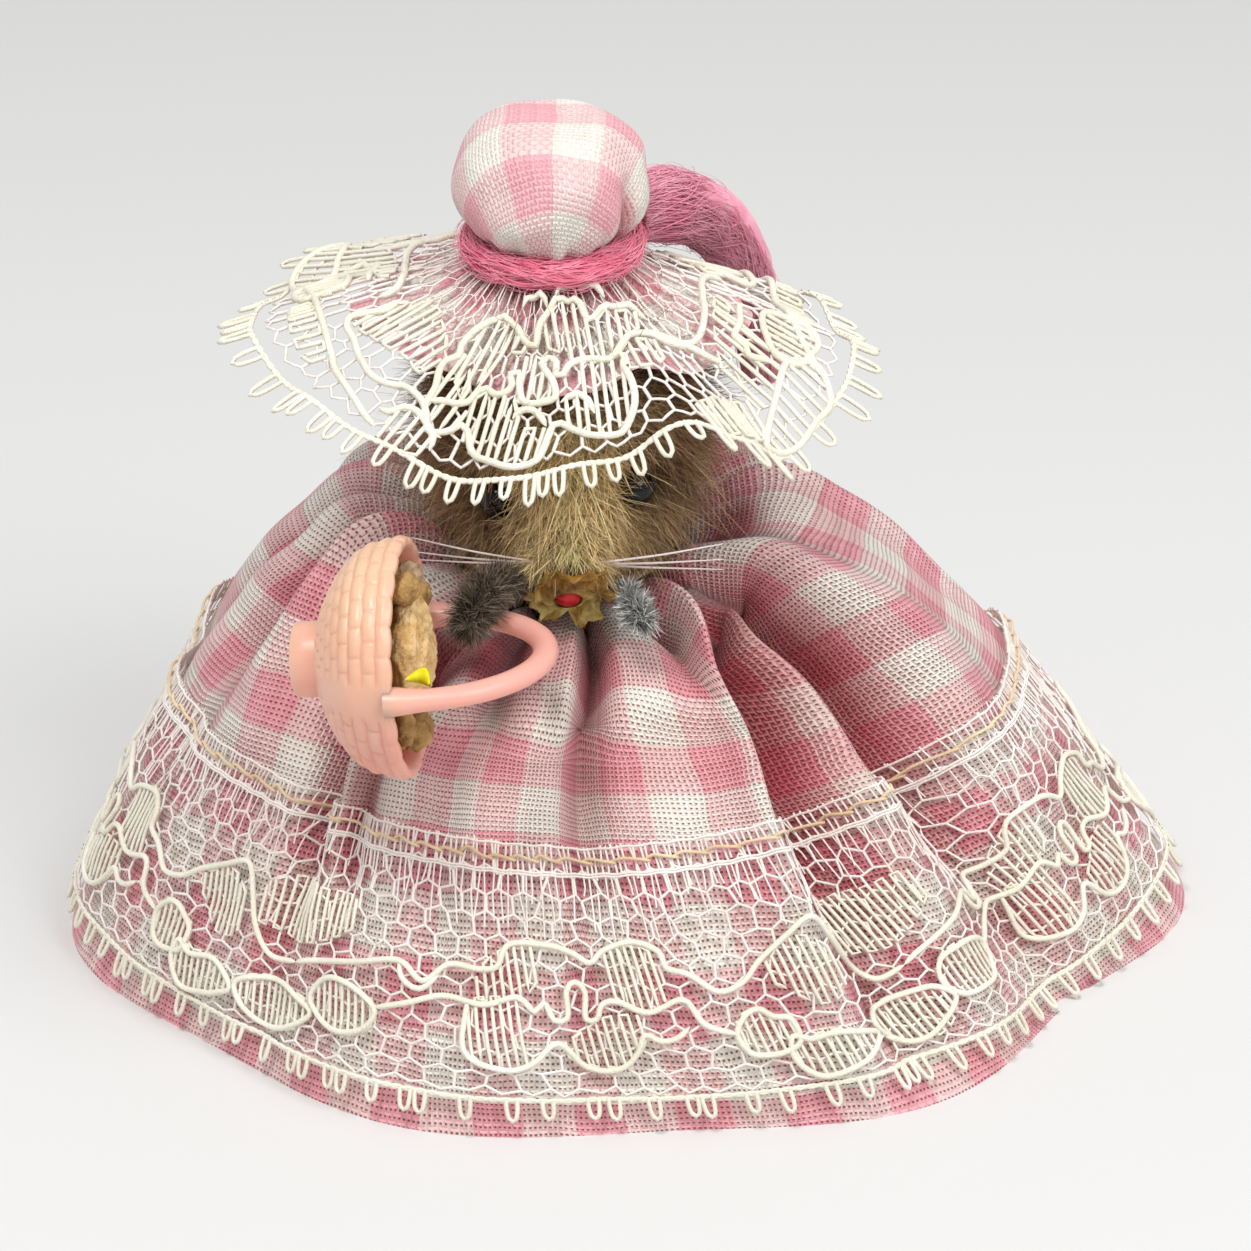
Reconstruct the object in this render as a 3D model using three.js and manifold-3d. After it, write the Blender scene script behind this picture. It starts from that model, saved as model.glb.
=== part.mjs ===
// A small mouse doll in a gathered check dress and mob cap, with a moulded basket hooked over one arm.
// Millimetres, +Z up. The doll looks along -Y and its origin is the middle of the felt pad that it stands on.
import * as THREE from "three";
import { mergeVertices } from "three/addons/utils/BufferGeometryUtils.js";
import Module from "manifold-3d";

const wasm = await Module();
wasm.setup();

const TAU = Math.PI * 2;
const FRONT = -Math.PI / 2;

// Driving dimensions, in millimetres
const CLEARANCE = 0.3; // between pieces that touch
const CLOTH = 0.8; // the thickness that every layer of cloth or lace is drawn with
const HEM_HALF_WIDTH = 48.4; // of the skirt, from side to side
const HEM_HALF_DEPTH = 42.6; // of the skirt, from front to back
const NECK_RADIUS = 9.4; // of the gathered top of the skirt
const NECK_HEIGHT = 36.5; // of the gathered top of the skirt, which everything above it stands on
const SHOULDER_RISE = 3.9; // from there to the crest where the gathers turn over
const BACK_RISE = 1.6; // how much higher the back of the neck is
const FRONT_FALL = 7.4; // how much lower the front of the crest is
const NECK_SHIFT = [-3.2, -7.8]; // from the middle of the pad to the middle of the neck
const HEM_SHIFT = [2.2, -1]; // and to the middle of the hem
const FOLDS = 14; // gathers round the neck
const GATHER_DEPTH = 1.5;
const WAVE_DEPTH = 1.2; // of the waves at the hem
const LACE_TOP = 0.585; // where the skirt lace starts at the sides, as a share of the way from neck to hem
const LACE_RISE = 0.045; // how much nearer the neck it starts at the front
const RISE_START = 0.4; // where the rings of the skirt start to follow that rise
const LACE_FOOT = 0.955; // where the skirt lace ends
const PICOT_DROP = 0.02; // how far its points reach past that
const STITCH_SHARE = 0.025; // from the top of the lace to its stitching
const STITCH_RADIUS = 0.25;
// Where the basket presses the skirt in, and where the right front of the hem is drawn in
const DENT = { share: 0.36, spread: 0.2, angle: FRONT - 0.75, width: 0.42, depth: 1.3 };
const TUCK = { share: 0.3, angle: FRONT + 0.98, width: 0.36, depth: 3.6 };

const PAD_RADIUS = 15;
const PAD_HEIGHT = 1.5;
const BODY_RADIUS = 13;
const BODY_NECK_RADIUS = 6.6;
const BODY_SINK = 3; // how far the body reaches up past the foot of the head
const GATHER_THREAD_RADIUS = 0.4;
const GATHER_THREAD_AT = 0.83; // up the body

const HEAD_RADIUS = 10.3;
const HEAD_CENTRE = new THREE.Vector3(-3, -9, NECK_HEIGHT + 12.8);
const SNOUT_LENGTH = 17.3; // from the middle of the head to the tip of the snout
const SNOUT_RADIUS = 2.6;
const SNOUT_TIP = 1.4; // the length of its rounded end
const SNOUT_FALL = 0.6; // the angle of the snout below level, in radians
const HEAD_ROLL = 0.09; // how far the head leans to its left, in radians
const EYE_RADIUS = 1.55;
const EYE_FORWARD = 10.4; // along the snout from the middle of the head
const EYE_TURN = 1.12; // from straight above the snout, in radians
const EYE_PROUD = 0.3; // how far its middle stands out of the head
const NOSE_RADIUS = 1.25;
const NOSE_DROP = 0.4;
const WHISKER_RADIUS = 0.15;
const WHISKER_SPAN = 12.6; // from the snout to each tip
const WHISKER_SWEEP = 1.2; // how far back each tip is
// Each whisker's place in the snout, and how far its tips are above it
const WHISKERS = [
  { name: "whisker_upper", forward: 16.2, up: 1.3, leftRise: 1.75, rightRise: 1.2 },
  { name: "whisker_middle", forward: 15.9, up: 0.8, leftRise: 0.5, rightRise: -0.2 },
  { name: "whisker_lower", forward: 15.6, up: 0.3, leftRise: -0.2, rightRise: -1.1 },
];
const HIDE_EDGE = [3.1, 2.6, 3.2, 2.4, 2.9, 2.3, 2.6, 2.2, 2.9, 2.4, 3.2, 2.5]; // its reach from the nose, round it
const HIDE_THICKNESS = 0.5;

const CAP_SEAT = 3.5; // from the top of the head to the waist of the cap
const TIE_CENTRE = new THREE.Vector3(-4, -8, HEAD_CENTRE.z + HEAD_RADIUS + CAP_SEAT);
const CAP_TILT = 0.06; // how much lower the cap's front is, for each millimetre forward
const PUFF_RADIUS = 7.95;
const PUFF_HEIGHT = 11;
const PUFF_GATHERS = 9;
const CAP_WAIST_RADIUS = 4.4;
const YARN_HALF_WIDTH = 1.15;
const YARN_HALF_HEIGHT = 1.05;
const YARN_RADIUS = CAP_WAIST_RADIUS + CLEARANCE + YARN_HALF_WIDTH + 0.45; // to the middle of the yarn
const KNOT_ANGLE = 0.62;
const KNOT_RADIUS = 1.9;
const KNOT_THICKNESS = 0.8; // of the knot, as a share of its width
const KNOT_RISE = 0.9;
const BRIM_START_RADIUS = 5.5;
const BRIM_SIDE_RADIUS = 24.6;
const BRIM_DEPTH_RADIUS = 19.5;
const BRIM_WAVES = 9;
const BRIM_WAVE_DEPTH = 0.7;
const BRIM_TOOTH = 1.06; // how far out the points of its lace reach
const RUFFLE_SHARE = 0.42; // how far out over the brim the check cloth reaches
// How far the brim's edge hangs below the tie, at angles in degrees from the doll's left round by its front
const BRIM_DROP = [
  [-180, 5.1], [-165, 5.5], [-150, 6.2], [-135, 8.2], [-120, 9.5], [-105, 10.5], [-90, 9.8], [-75, 8.3], [-60, 6.7],
  [-47, 8.8], [-36, 11], [-25, 10], [-14, 8.6], [0, 7.3], [20, 7.7], [45, 8.8], [70, 9.6], [90, 9.4], [105, 7.6],
  [120, 5], [135, 4.1], [150, 5], [165, 5.2], [180, 5.1],
];
const TAIL_RADIUS = 2.3; // of the free end of the yarn
// The way the free end hangs, from where it leaves the knot
const TAIL_DROP = [
  [0, 0, 0], [1.5, 1.4, 0.1], [3.2, 3.3, -0.6], [4.9, 5.8, -2.2], [6.5, 8.5, -5], [7.8, 11.2, -8.7],
  [8.6, 13, -12.8], [8.9, 13.6, -17], [8.9, 13.9, -21.2],
];

const WIRE_RADIUS = 0.55;
const PILE_RADIUS = 1.45; // of the packed pile on an arm
const PILE_START = 0.09; // where the pile of the free arm begins, as a share of its length
const aboveNeck = ([x, y, rise]) => new THREE.Vector3(x, y, NECK_HEIGHT + rise);
// Each arm from its shoulder to the tip of its paw. The left one goes over the basket's handle and down inside it
const LEFT_ARM = [[-6.2, -20.6, 1.3], [-7.6, -24.6, 3.8], [-9.2, -28.6, 4.6], [-10.6, -32.4, 3.4]].map(aboveNeck);
const RIGHT_ARM = [[1.4, -20.6, 1.7], [2.4, -24, 2], [3.4, -27.4, 1.5]].map(aboveNeck);
const ARM_BEND = [[-5.2, -15, 1], [-3, -11.6, 0.5], [-0.2, -15, 1]].map(aboveNeck); // of the wire through the body
const BEND_GAP = 0.35; // from the bend to each end of the wire

const BASKET_RADIUS = 9.4;
const BASKET_DEPTH = 9.1;
const BASKET_WALL = 0.8;
const FOOT_RADIUS = 3;
const FOOT_HEIGHT = 2.1;
const HANDLE_RISE = 11.6; // from the rim to the top of the handle
const HANDLE_HALF_WIDTH = 1.15;
const HANDLE_HALF_THICKNESS = 0.95;
const STRAP_HALF_WIDTH = 1.7; // of the plain strap that runs down the bowl from each end of the handle
const STRAP_PROUD = 0.14;
const STRAP_SINK = 0.45;
const RIM_CENTRE = aboveNeck([-14.9, -34.4, 1.9]);
const BASKET_AXIS = new THREE.Vector3(0.99, -0.1, 0.07).normalize();
const HANDLE_SIDE = new THREE.Vector3(-0.1, -0.99, 0.06);
const WEAVE_STAKES = 24;
const STAKE_RELIEF = 0.16;
const BED_TOP = 7.2; // of the dried stuff in the basket, under the lump
const BED_RIM = 8.6; // and round it
const LUMP_HALF = new THREE.Vector3(4.4, 4.6, 1.6);
const PETAL_LENGTH = 2.9;
const PETAL_THICKNESS = 0.4;
const PETAL_AT = new THREE.Vector3(6.7, -0.9, BED_RIM + 0.55);

// Small tools

// A smooth curve through [place, value] pairs, with the slopes of a Catmull-Rom spline.
function smooth(pairs) {
  const slope = (k) => {
    const before = pairs[Math.max(k - 1, 0)];
    const after = pairs[Math.min(k + 1, pairs.length - 1)];
    return (after[1] - before[1]) / (after[0] - before[0]);
  };
  return (at) => {
    let k = 0;
    while (k < pairs.length - 2 && at > pairs[k + 1][0]) k += 1;
    const [x0, y0] = pairs[k];
    const [x1, y1] = pairs[k + 1];
    const span = x1 - x0;
    const f = (at - x0) / span;
    const f2 = f * f;
    const f3 = f2 * f;
    return (
      y0 * (2 * f3 - 3 * f2 + 1) +
      slope(k) * span * (f3 - 2 * f2 + f) +
      y1 * (3 * f2 - 2 * f3) +
      slope(k + 1) * span * (f3 - f2)
    );
  };
}

function bare(geometry) {
  const stripped = geometry.index ? geometry.toNonIndexed() : geometry.clone();
  stripped.deleteAttribute("normal");
  stripped.deleteAttribute("uv");
  return mergeVertices(stripped, 1e-4);
}

function solidOf(geometry) {
  const merged = bare(geometry);
  const mesh = new wasm.Mesh({
    numProp: 3,
    vertProperties: new Float32Array(merged.attributes.position.array),
    triVerts: new Uint32Array(merged.index.array),
  });
  return new wasm.Manifold(mesh);
}

function geometryOf(solid) {
  const mesh = solid.getMesh();
  const geometry = new THREE.BufferGeometry();
  geometry.setAttribute("position", new THREE.BufferAttribute(mesh.vertProperties, 3));
  geometry.setIndex(new THREE.BufferAttribute(mesh.triVerts, 1));
  return geometry;
}

// The largest piece of a solid, for a cut that leaves crumbs.
function largest(solid) {
  const pieces = solid.decompose();
  pieces.sort((a, b) => b.volume() - a.volume());
  return pieces[0];
}

function indexed(positions, faces) {
  let volume = 0;
  for (let f = 0; f < faces.length; f += 3) {
    const [a, b, c] = [0, 1, 2].map((k) => positions[faces[f + k]]);
    volume += a.dot(b.clone().cross(c));
  }
  if (volume < 0) {
    for (let f = 0; f < faces.length; f += 3) {
      [faces[f + 1], faces[f + 2]] = [faces[f + 2], faces[f + 1]];
    }
  }
  const geometry = new THREE.BufferGeometry().setFromPoints(positions);
  geometry.setIndex(faces);
  return geometry;
}

// Rings of points joined into a closed solid. Each ring has as many points as the next, or one where it closes
// to a pole. A closed stack runs out along one skin and back along the other to its first ring, and from ring
// turnAt on its facets are split the other way, so that two layers of cloth have the same facets.
function stack(rings, closed, turnAt = Infinity) {
  const positions = rings.flat();
  const starts = [];
  let next = 0;
  for (const ring of rings) {
    starts.push(next);
    next += ring.length;
  }
  const faces = [];
  const last = closed ? rings.length : rings.length - 1;
  for (let j = 0; j < last; j += 1) {
    const k = (j + 1) % rings.length;
    const count = Math.max(rings[j].length, rings[k].length);
    for (let i = 0; i < count; i += 1) {
      const a = starts[j] + (i % rings[j].length);
      const b = starts[j] + ((i + 1) % rings[j].length);
      const c = starts[k] + ((i + 1) % rings[k].length);
      const d = starts[k] + (i % rings[k].length);
      if (j >= turnAt) faces.push(a, b, d, b, c, d);
      else {
        if (a !== b) faces.push(a, b, c);
        if (c !== d) faces.push(a, c, d);
      }
    }
  }
  return indexed(positions, faces);
}

// A thin solid over a surface that runs right round: surface(angle, share) gives a point and a direction out.
function clothSolid(around, shares, surface, inner, outer) {
  const skin = (share, lift) => {
    const ring = [];
    for (let i = 0; i < around; i += 1) {
      const { point, out } = surface((i / around) * TAU + FRONT, share, i);
      ring.push(point.clone().addScaledVector(out, lift));
    }
    return ring;
  };
  const rings = shares.map((share) => skin(share, outer));
  for (const share of [...shares].reverse()) rings.push(skin(share, inner));
  return stack(rings, true, shares.length);
}

// A round rod along a smooth line through points.
function rod(points, radius, sides, steps, radiusY = radius) {
  const path = new THREE.CatmullRomCurve3(points, false, "centripetal");
  const section = new THREE.Shape();
  for (let i = 0; i < sides; i += 1) {
    const angle = (i / sides) * TAU;
    const x = radius * Math.cos(angle);
    const y = radiusY * Math.sin(angle);
    if (i === 0) section.moveTo(x, y);
    else section.lineTo(x, y);
  }
  section.closePath();
  return new THREE.ExtrudeGeometry(section, { extrudePath: path, steps, bevelEnabled: false });
}

function ringsAlong(points, outline, sides) {
  const path = new THREE.CatmullRomCurve3(points, false, "centripetal");
  return outline.map(([at, radius]) => {
    const middle = path.getPointAt(at);
    const along = path.getTangentAt(at);
    const side = along.clone().cross(new THREE.Vector3(0, 0, 1)).normalize();
    const up = side.clone().cross(along);
    return Array.from({ length: sides }, (_, i) => {
      const turn = (i / sides) * TAU;
      const across = middle.clone().addScaledVector(side, radius * Math.cos(turn));
      return across.addScaledVector(up, radius * Math.sin(turn));
    });
  });
}

// A closed form along a smooth line, whose outside follows [share of the length, radius] pairs.
function limb(points, outline, sides) {
  return stack([[points[0]], ...ringsAlong(points, outline, sides), [points[points.length - 1]]], false);
}

// The same with a bore right through it.
function sleeve(points, bore, outline, sides) {
  const outside = ringsAlong(points, outline, sides);
  const inside = ringsAlong(points, outline.map(([at]) => [at, bore]), sides).reverse();
  return stack([...outside, ...inside], true, outline.length);
}

function evenly(from, to, count) {
  return Array.from({ length: count + 1 }, (_, k) => from + ((to - from) * k) / count);
}

// A turn that carries +Y to a direction, for lathes.
function turnTo(direction) {
  return new THREE.Quaternion().setFromUnitVectors(new THREE.Vector3(0, 1, 0), direction.clone().normalize());
}

const doll = new THREE.Group();

function finish(colour, roughness, metalness = 0) {
  return new THREE.MeshStandardMaterial({ color: colour, roughness, metalness });
}

const CHECK_CLOTH = finish(0xe9a9b3, 0.9);
const LACE = finish(0xf3efdc, 0.85);
const THREAD = finish(0xe8d7b4, 0.8);
const FELT = finish(0x8a7f78, 0.95);
const PLUSH = finish(0x8b7d6b, 0.95);
const GREY_FUR = finish(0x7d7264, 0.95);
const BLACK_GLASS = finish(0x0b0b0c, 0.15);
const RED_GLASS = finish(0xa81418, 0.25);
const HIDE = finish(0xb98a2c, 0.6);
const NYLON = finish(0xd8cfc8, 0.35);
const YARN = finish(0xe0567f, 0.9);
const STUFFING = finish(0xf4f1ea, 0.95);
const CHENILLE = finish(0x6f6a62, 0.95);
const WIRE = finish(0x8d8d90, 0.4, 1);
const PINK_PLASTIC = finish(0xf2b59f, 0.3);
const CORK = finish(0xc9a468, 0.9);
const LEAF = finish(0x9b7a46, 0.9);
const YELLOW = finish(0xe8d80c, 0.7);

function add(name, geometry, material) {
  const mesh = new THREE.Mesh(geometry, material);
  mesh.name = name;
  doll.add(mesh);
  return mesh;
}

// The skirt: an oval bell that leans with the body, gathered at the neck

const skirtHalfWidth = smooth([
  [0, NECK_RADIUS], [0.08, 1.362 * NECK_RADIUS], [0.18, 1.915 * NECK_RADIUS], [0.3, 2.404 * NECK_RADIUS],
  [0.42, 0.583 * HEM_HALF_WIDTH], [0.55, 0.684 * HEM_HALF_WIDTH], [0.7, 0.798 * HEM_HALF_WIDTH],
  [0.85, 0.907 * HEM_HALF_WIDTH], [1, HEM_HALF_WIDTH],
]);
const skirtHalfDepth = smooth([
  [0, NECK_RADIUS], [0.08, 1.33 * NECK_RADIUS], [0.18, 1.83 * NECK_RADIUS], [0.3, 2.426 * NECK_RADIUS],
  [0.42, 0.596 * HEM_HALF_DEPTH], [0.55, 0.718 * HEM_HALF_DEPTH], [0.7, 0.84 * HEM_HALF_DEPTH],
  [0.85, 0.934 * HEM_HALF_DEPTH], [1, HEM_HALF_DEPTH],
]);
const SHOULDER_HEIGHT = NECK_HEIGHT + SHOULDER_RISE;
const skirtHeight = smooth([
  [0, NECK_HEIGHT], [0.08, 0.97 * SHOULDER_HEIGHT], [0.18, SHOULDER_HEIGHT], [0.3, 0.921 * SHOULDER_HEIGHT],
  [0.42, 0.871 * NECK_HEIGHT], [0.55, 0.699 * NECK_HEIGHT], [0.7, 0.463 * NECK_HEIGHT], [0.85, 0.225 * NECK_HEIGHT],
  [1, 0],
]);
const frontShare = smooth([
  [0, 0.41], [0.08, 0.73], [0.18, 1], [0.3, 0.95], [0.42, 0.72], [0.55, 0.64], [0.7, 0.42], [0.85, 0.22], [1, 0],
]);
const shiftShareX = smooth([[0, 0], [0.18, 0.04], [0.42, 0.17], [0.7, 0.57], [1, 1]]);
const shiftShareY = smooth([[0, 0], [0.18, 0.12], [0.42, 0.38], [0.7, 0.74], [1, 1]]);
const gatherShare = smooth([[0, 0.33], [0.12, 0.73], [0.35, 1], [0.6, 0.6], [1, 0.17]]);
const waveShare = smooth([[0, 0], [0.3, 0.25], [0.7, 0.75], [1, 1]]);
const VALLEY = FRONT + THREE.MathUtils.degToRad(5);

function skirtBase(angle, share) {
  const front = Math.max(0, -Math.sin(angle)) ** 2;
  const back = Math.max(0, Math.sin(angle)) ** 2 * (1 - share) ** 2;
  return new THREE.Vector3(
    THREE.MathUtils.lerp(NECK_SHIFT[0], HEM_SHIFT[0], shiftShareX(share)) + skirtHalfWidth(share) * Math.cos(angle),
    THREE.MathUtils.lerp(NECK_SHIFT[1], HEM_SHIFT[1], shiftShareY(share)) + skirtHalfDepth(share) * Math.sin(angle),
    skirtHeight(share) - FRONT_FALL * frontShare(share) * front + BACK_RISE * back,
  );
}

// The direction out of a surface of angle and share, from its slopes.
function outward(base, angle, share) {
  const step = 1e-3;
  const low = Math.max(share - step, 0);
  const high = Math.min(share + step, 1);
  const along = base(angle, high).sub(base(angle, low));
  const round = base(angle + step, share).sub(base(angle - step, share));
  return round.cross(along).normalize().negate();
}

// Rings below the waist lie parallel to the lace's upper edge, which is nearer the neck at the front.
function hang(angle, share) {
  const front = Math.max(0, -Math.sin(angle)) ** 2;
  const above = (share - RISE_START) / (LACE_TOP - RISE_START);
  const below = (LACE_FOOT - share) / (LACE_FOOT - LACE_TOP);
  return share - LACE_RISE * front * Math.max(0, Math.min(above, below, 1));
}

// The turn from one angle to another, from -pi to pi.
function apart(angle, other) {
  return Math.atan2(Math.sin(angle - other), Math.cos(angle - other));
}

function skirtFold(angle, share) {
  const gathers = -GATHER_DEPTH * gatherShare(share) * Math.cos(FOLDS * (angle - VALLEY));
  const waves = -WAVE_DEPTH * waveShare(share) * Math.cos((FOLDS / 2) * (angle - VALLEY));
  const aside = apart(angle, DENT.angle) / DENT.width;
  const down = (share - DENT.share) / DENT.spread;
  const dent = DENT.depth * Math.exp(-aside * aside - down * down);
  const across = apart(angle, TUCK.angle) / TUCK.width;
  const tuck = TUCK.depth * Math.max(0, share - TUCK.share) * Math.exp(-across * across);
  return gathers + waves - dent - tuck;
}

function skirtSurface(angle, level) {
  const share = hang(angle, level);
  const out = outward(skirtBase, angle, share);
  out.z *= Math.min(1, (1 - share) / 0.03);
  out.normalize();
  const point = skirtBase(angle, share).addScaledVector(out, skirtFold(angle, share));
  return { point, out };
}

const SKIRT_AROUND = FOLDS * 4;
const laceShares = evenly(LACE_TOP, LACE_FOOT, 3);
const skirtShares = [0, 0.07, 0.16, 0.27, 0.38, 0.49, ...laceShares, 1];
add("skirt", clothSolid(SKIRT_AROUND, skirtShares, skirtSurface, 0, CLOTH), CHECK_CLOTH);

// The lace band sewn over the lower skirt, with a pointed edge

function laceSurface(angle, share, i) {
  const foot = share >= LACE_FOOT && i % 2 === 0;
  return skirtSurface(angle, foot ? share + PICOT_DROP : share);
}

const LACE_LIFT = CLOTH + CLEARANCE;
add(
  "skirt_lace",
  clothSolid(SKIRT_AROUND, laceShares, laceSurface, LACE_LIFT, LACE_LIFT + CLOTH),
  LACE,
);

// The thread that the lace is stitched down with
const STITCH_LIFT = LACE_LIFT + CLOTH + CLEARANCE + STITCH_RADIUS;
function threadRing(share, lift, radius, around, sides) {
  const rings = [];
  for (let j = 0; j < sides; j += 1) {
    const turn = (j / sides) * TAU;
    const ring = [];
    for (let i = 0; i < around; i += 1) {
      const { point, out } = skirtSurface((i / around) * TAU + FRONT, share);
      point.addScaledVector(out, lift + radius * Math.cos(turn));
      point.z += radius * Math.sin(turn);
      ring.push(point);
    }
    rings.push(ring);
  }
  return stack(rings, true);
}
add("lace_stitching", threadRing(LACE_TOP + STITCH_SHARE, STITCH_LIFT, STITCH_RADIUS, SKIRT_AROUND, 4), THREAD);

// The head: a pear shape turned about the line of the snout

const SNOUT_LINE = new THREE.Vector3(0.02, -Math.cos(SNOUT_FALL), -Math.sin(SNOUT_FALL)).normalize();
const SNOUT_UP = new THREE.Vector3(0, -Math.sin(SNOUT_FALL), Math.cos(SNOUT_FALL));
const HEAD_SIDE = new THREE.Vector3(Math.cos(HEAD_ROLL), 0, Math.sin(HEAD_ROLL));
const headRadiusAt = smooth([
  [0, HEAD_RADIUS], [0.29 * SNOUT_LENGTH, 0.883 * HEAD_RADIUS], [0.578 * SNOUT_LENGTH, 0.602 * HEAD_RADIUS],
  [0.81 * SNOUT_LENGTH, 1.42 * SNOUT_RADIUS], [SNOUT_LENGTH - SNOUT_TIP, SNOUT_RADIUS],
]);

function headShape(grow) {
  const points = [new THREE.Vector2(0, -HEAD_RADIUS - grow)];
  for (const turn of evenly(0.2, 1, 5)) {
    const angle = (turn * Math.PI) / 2;
    points.push(new THREE.Vector2((HEAD_RADIUS + grow) * Math.sin(angle), -(HEAD_RADIUS + grow) * Math.cos(angle)));
  }
  for (const share of [0.22, 0.44, 0.63, 0.79, 0.91, 1]) {
    const forward = share * (SNOUT_LENGTH - SNOUT_TIP);
    points.push(new THREE.Vector2(headRadiusAt(forward) + grow, forward));
  }
  points.push(new THREE.Vector2(SNOUT_RADIUS * 0.72 + grow, SNOUT_LENGTH - 0.3 * SNOUT_TIP + grow));
  points.push(new THREE.Vector2(0, SNOUT_LENGTH + grow));
  const shape = new THREE.LatheGeometry(points, 26);
  shape.applyQuaternion(turnTo(SNOUT_LINE));
  shape.translate(HEAD_CENTRE.x, HEAD_CENTRE.y, HEAD_CENTRE.z);
  return shape;
}

function onHead(forward, side, up) {
  return HEAD_CENTRE.clone()
    .addScaledVector(SNOUT_LINE, forward)
    .addScaledVector(SNOUT_UP, up)
    .addScaledVector(HEAD_SIDE, side);
}

function ball(centre, radius, around = 14, rows = 9) {
  return new THREE.SphereGeometry(radius, around, rows).translate(centre.x, centre.y, centre.z);
}

const eyeReach = headRadiusAt(EYE_FORWARD) + EYE_PROUD;
const [leftEyeAt, rightEyeAt] = [-1, 1].map((side) =>
  onHead(EYE_FORWARD, side * eyeReach * Math.sin(EYE_TURN), eyeReach * Math.cos(EYE_TURN)),
);
const noseAt = onHead(SNOUT_LENGTH + 0.5, 0, -NOSE_DROP);

// Three filaments go through the snout from side to side
function whiskerLine({ forward, up, leftRise, rightRise }) {
  const middle = onHead(forward, 0, up);
  const at = (side, share, rise) =>
    middle.clone().add(
      new THREE.Vector3(side * share * WHISKER_SPAN, share ** 2.5 * WHISKER_SWEEP, share ** 1.3 * rise),
    );
  return [at(-1, 1, leftRise), at(-1, 0.5, leftRise), middle, at(1, 0.5, rightRise), at(1, 1, rightRise)];
}

let head = solidOf(headShape(0));
for (const at of [leftEyeAt, rightEyeAt]) head = head.subtract(solidOf(ball(at, EYE_RADIUS + CLEARANCE)));
head = head.subtract(solidOf(ball(noseAt, NOSE_RADIUS + CLEARANCE)));
for (const whisker of WHISKERS) {
  head = head.subtract(solidOf(rod(whiskerLine(whisker), WHISKER_RADIUS + CLEARANCE, 5, 8)));
}
add("head", geometryOf(largest(head)), GREY_FUR);
add("left_eye", ball(leftEyeAt, EYE_RADIUS), BLACK_GLASS);
add("right_eye", ball(rightEyeAt, EYE_RADIUS), BLACK_GLASS);
add("nose", ball(noseAt, NOSE_RADIUS), RED_GLASS);
for (const whisker of WHISKERS) add(whisker.name, rod(whiskerLine(whisker), WHISKER_RADIUS, 5, 10), NYLON);

// The cut edge of the hide, curled round the nose in ragged flaps
const hideOutline = new THREE.Shape(
  HIDE_EDGE.map((reach, k) => {
    const angle = (k / HIDE_EDGE.length) * TAU;
    return new THREE.Vector2(reach * Math.cos(angle), reach * Math.sin(angle));
  }),
);
const hideHole = new THREE.Path();
hideHole.absarc(0, 0, NOSE_RADIUS + CLEARANCE, 0, TAU, true);
hideOutline.holes.push(hideHole);
const hideSize = { depth: HIDE_THICKNESS, bevelEnabled: false, curveSegments: 6 };
const hide = new THREE.ExtrudeGeometry(hideOutline, hideSize);
hide.applyQuaternion(new THREE.Quaternion().setFromUnitVectors(new THREE.Vector3(0, 0, 1), SNOUT_LINE));
const hideAt = onHead(SNOUT_LENGTH + CLEARANCE, 0, -NOSE_DROP);
hide.translate(hideAt.x, hideAt.y, hideAt.z);
add("hide_edge", hide, HIDE);

// The felt pad and the stuffed body, which leans from the pad to the head

const pad = new THREE.CylinderGeometry(PAD_RADIUS, PAD_RADIUS, PAD_HEIGHT, 40);
add("base_pad", pad.rotateX(Math.PI / 2).translate(0, 0, PAD_HEIGHT / 2), FELT);

const BODY_FOOT = PAD_HEIGHT + CLEARANCE;
const BODY_TOP = HEAD_CENTRE.z - HEAD_RADIUS + BODY_SINK;
const bodyRadius = smooth([
  [0, 0.908 * BODY_RADIUS], [0.12, BODY_RADIUS], [0.4, 0.954 * BODY_RADIUS], [0.65, 0.723 * BODY_RADIUS],
  [0.85, 1.09 * BODY_NECK_RADIUS], [1, BODY_NECK_RADIUS],
]);

function bodyMiddle(share) {
  return new THREE.Vector3(
    THREE.MathUtils.lerp(0, HEAD_CENTRE.x, share),
    THREE.MathUtils.lerp(0, HEAD_CENTRE.y + 1, share ** 1.3),
    THREE.MathUtils.lerp(BODY_FOOT, BODY_TOP, share),
  );
}

function ringAt(middle, radius, around) {
  return Array.from({ length: around }, (_, i) => {
    const angle = (i / around) * TAU;
    return middle.clone().add(new THREE.Vector3(radius * Math.cos(angle), radius * Math.sin(angle), 0));
  });
}

const bodyRings = evenly(0, 1, 9).map((share) => ringAt(bodyMiddle(share), bodyRadius(share), 24));
const bodyStack = stack([[bodyMiddle(0)], ...bodyRings, [bodyMiddle(1)]], false);

// The bare middle of the arm wire, bent through the body from one shoulder to the other
const wireLine = [
  LEFT_ARM[0].clone().add(new THREE.Vector3(0.15, BEND_GAP, -0.1)),
  ...ARM_BEND,
  RIGHT_ARM[0].clone().add(new THREE.Vector3(-0.15, BEND_GAP, -0.1)),
];
const body = solidOf(bodyStack)
  .subtract(solidOf(headShape(CLEARANCE)))
  .subtract(solidOf(rod(wireLine, WIRE_RADIUS + CLEARANCE, 6, 20)));
add("stuffed_body", geometryOf(largest(body)), PLUSH);
add("arm_wire_middle", rod(wireLine, WIRE_RADIUS, 6, 20), WIRE);

// The thread that draws the neck of the skirt in round the body
const gatherReach = bodyRadius(GATHER_THREAD_AT) + CLEARANCE + GATHER_THREAD_RADIUS + 0.15;
const gatherRing = new THREE.TorusGeometry(gatherReach, GATHER_THREAD_RADIUS, 6, 32);
const gatherAt = bodyMiddle(GATHER_THREAD_AT);
add("gather_thread", gatherRing.translate(gatherAt.x, gatherAt.y, gatherAt.z), THREAD);

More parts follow.
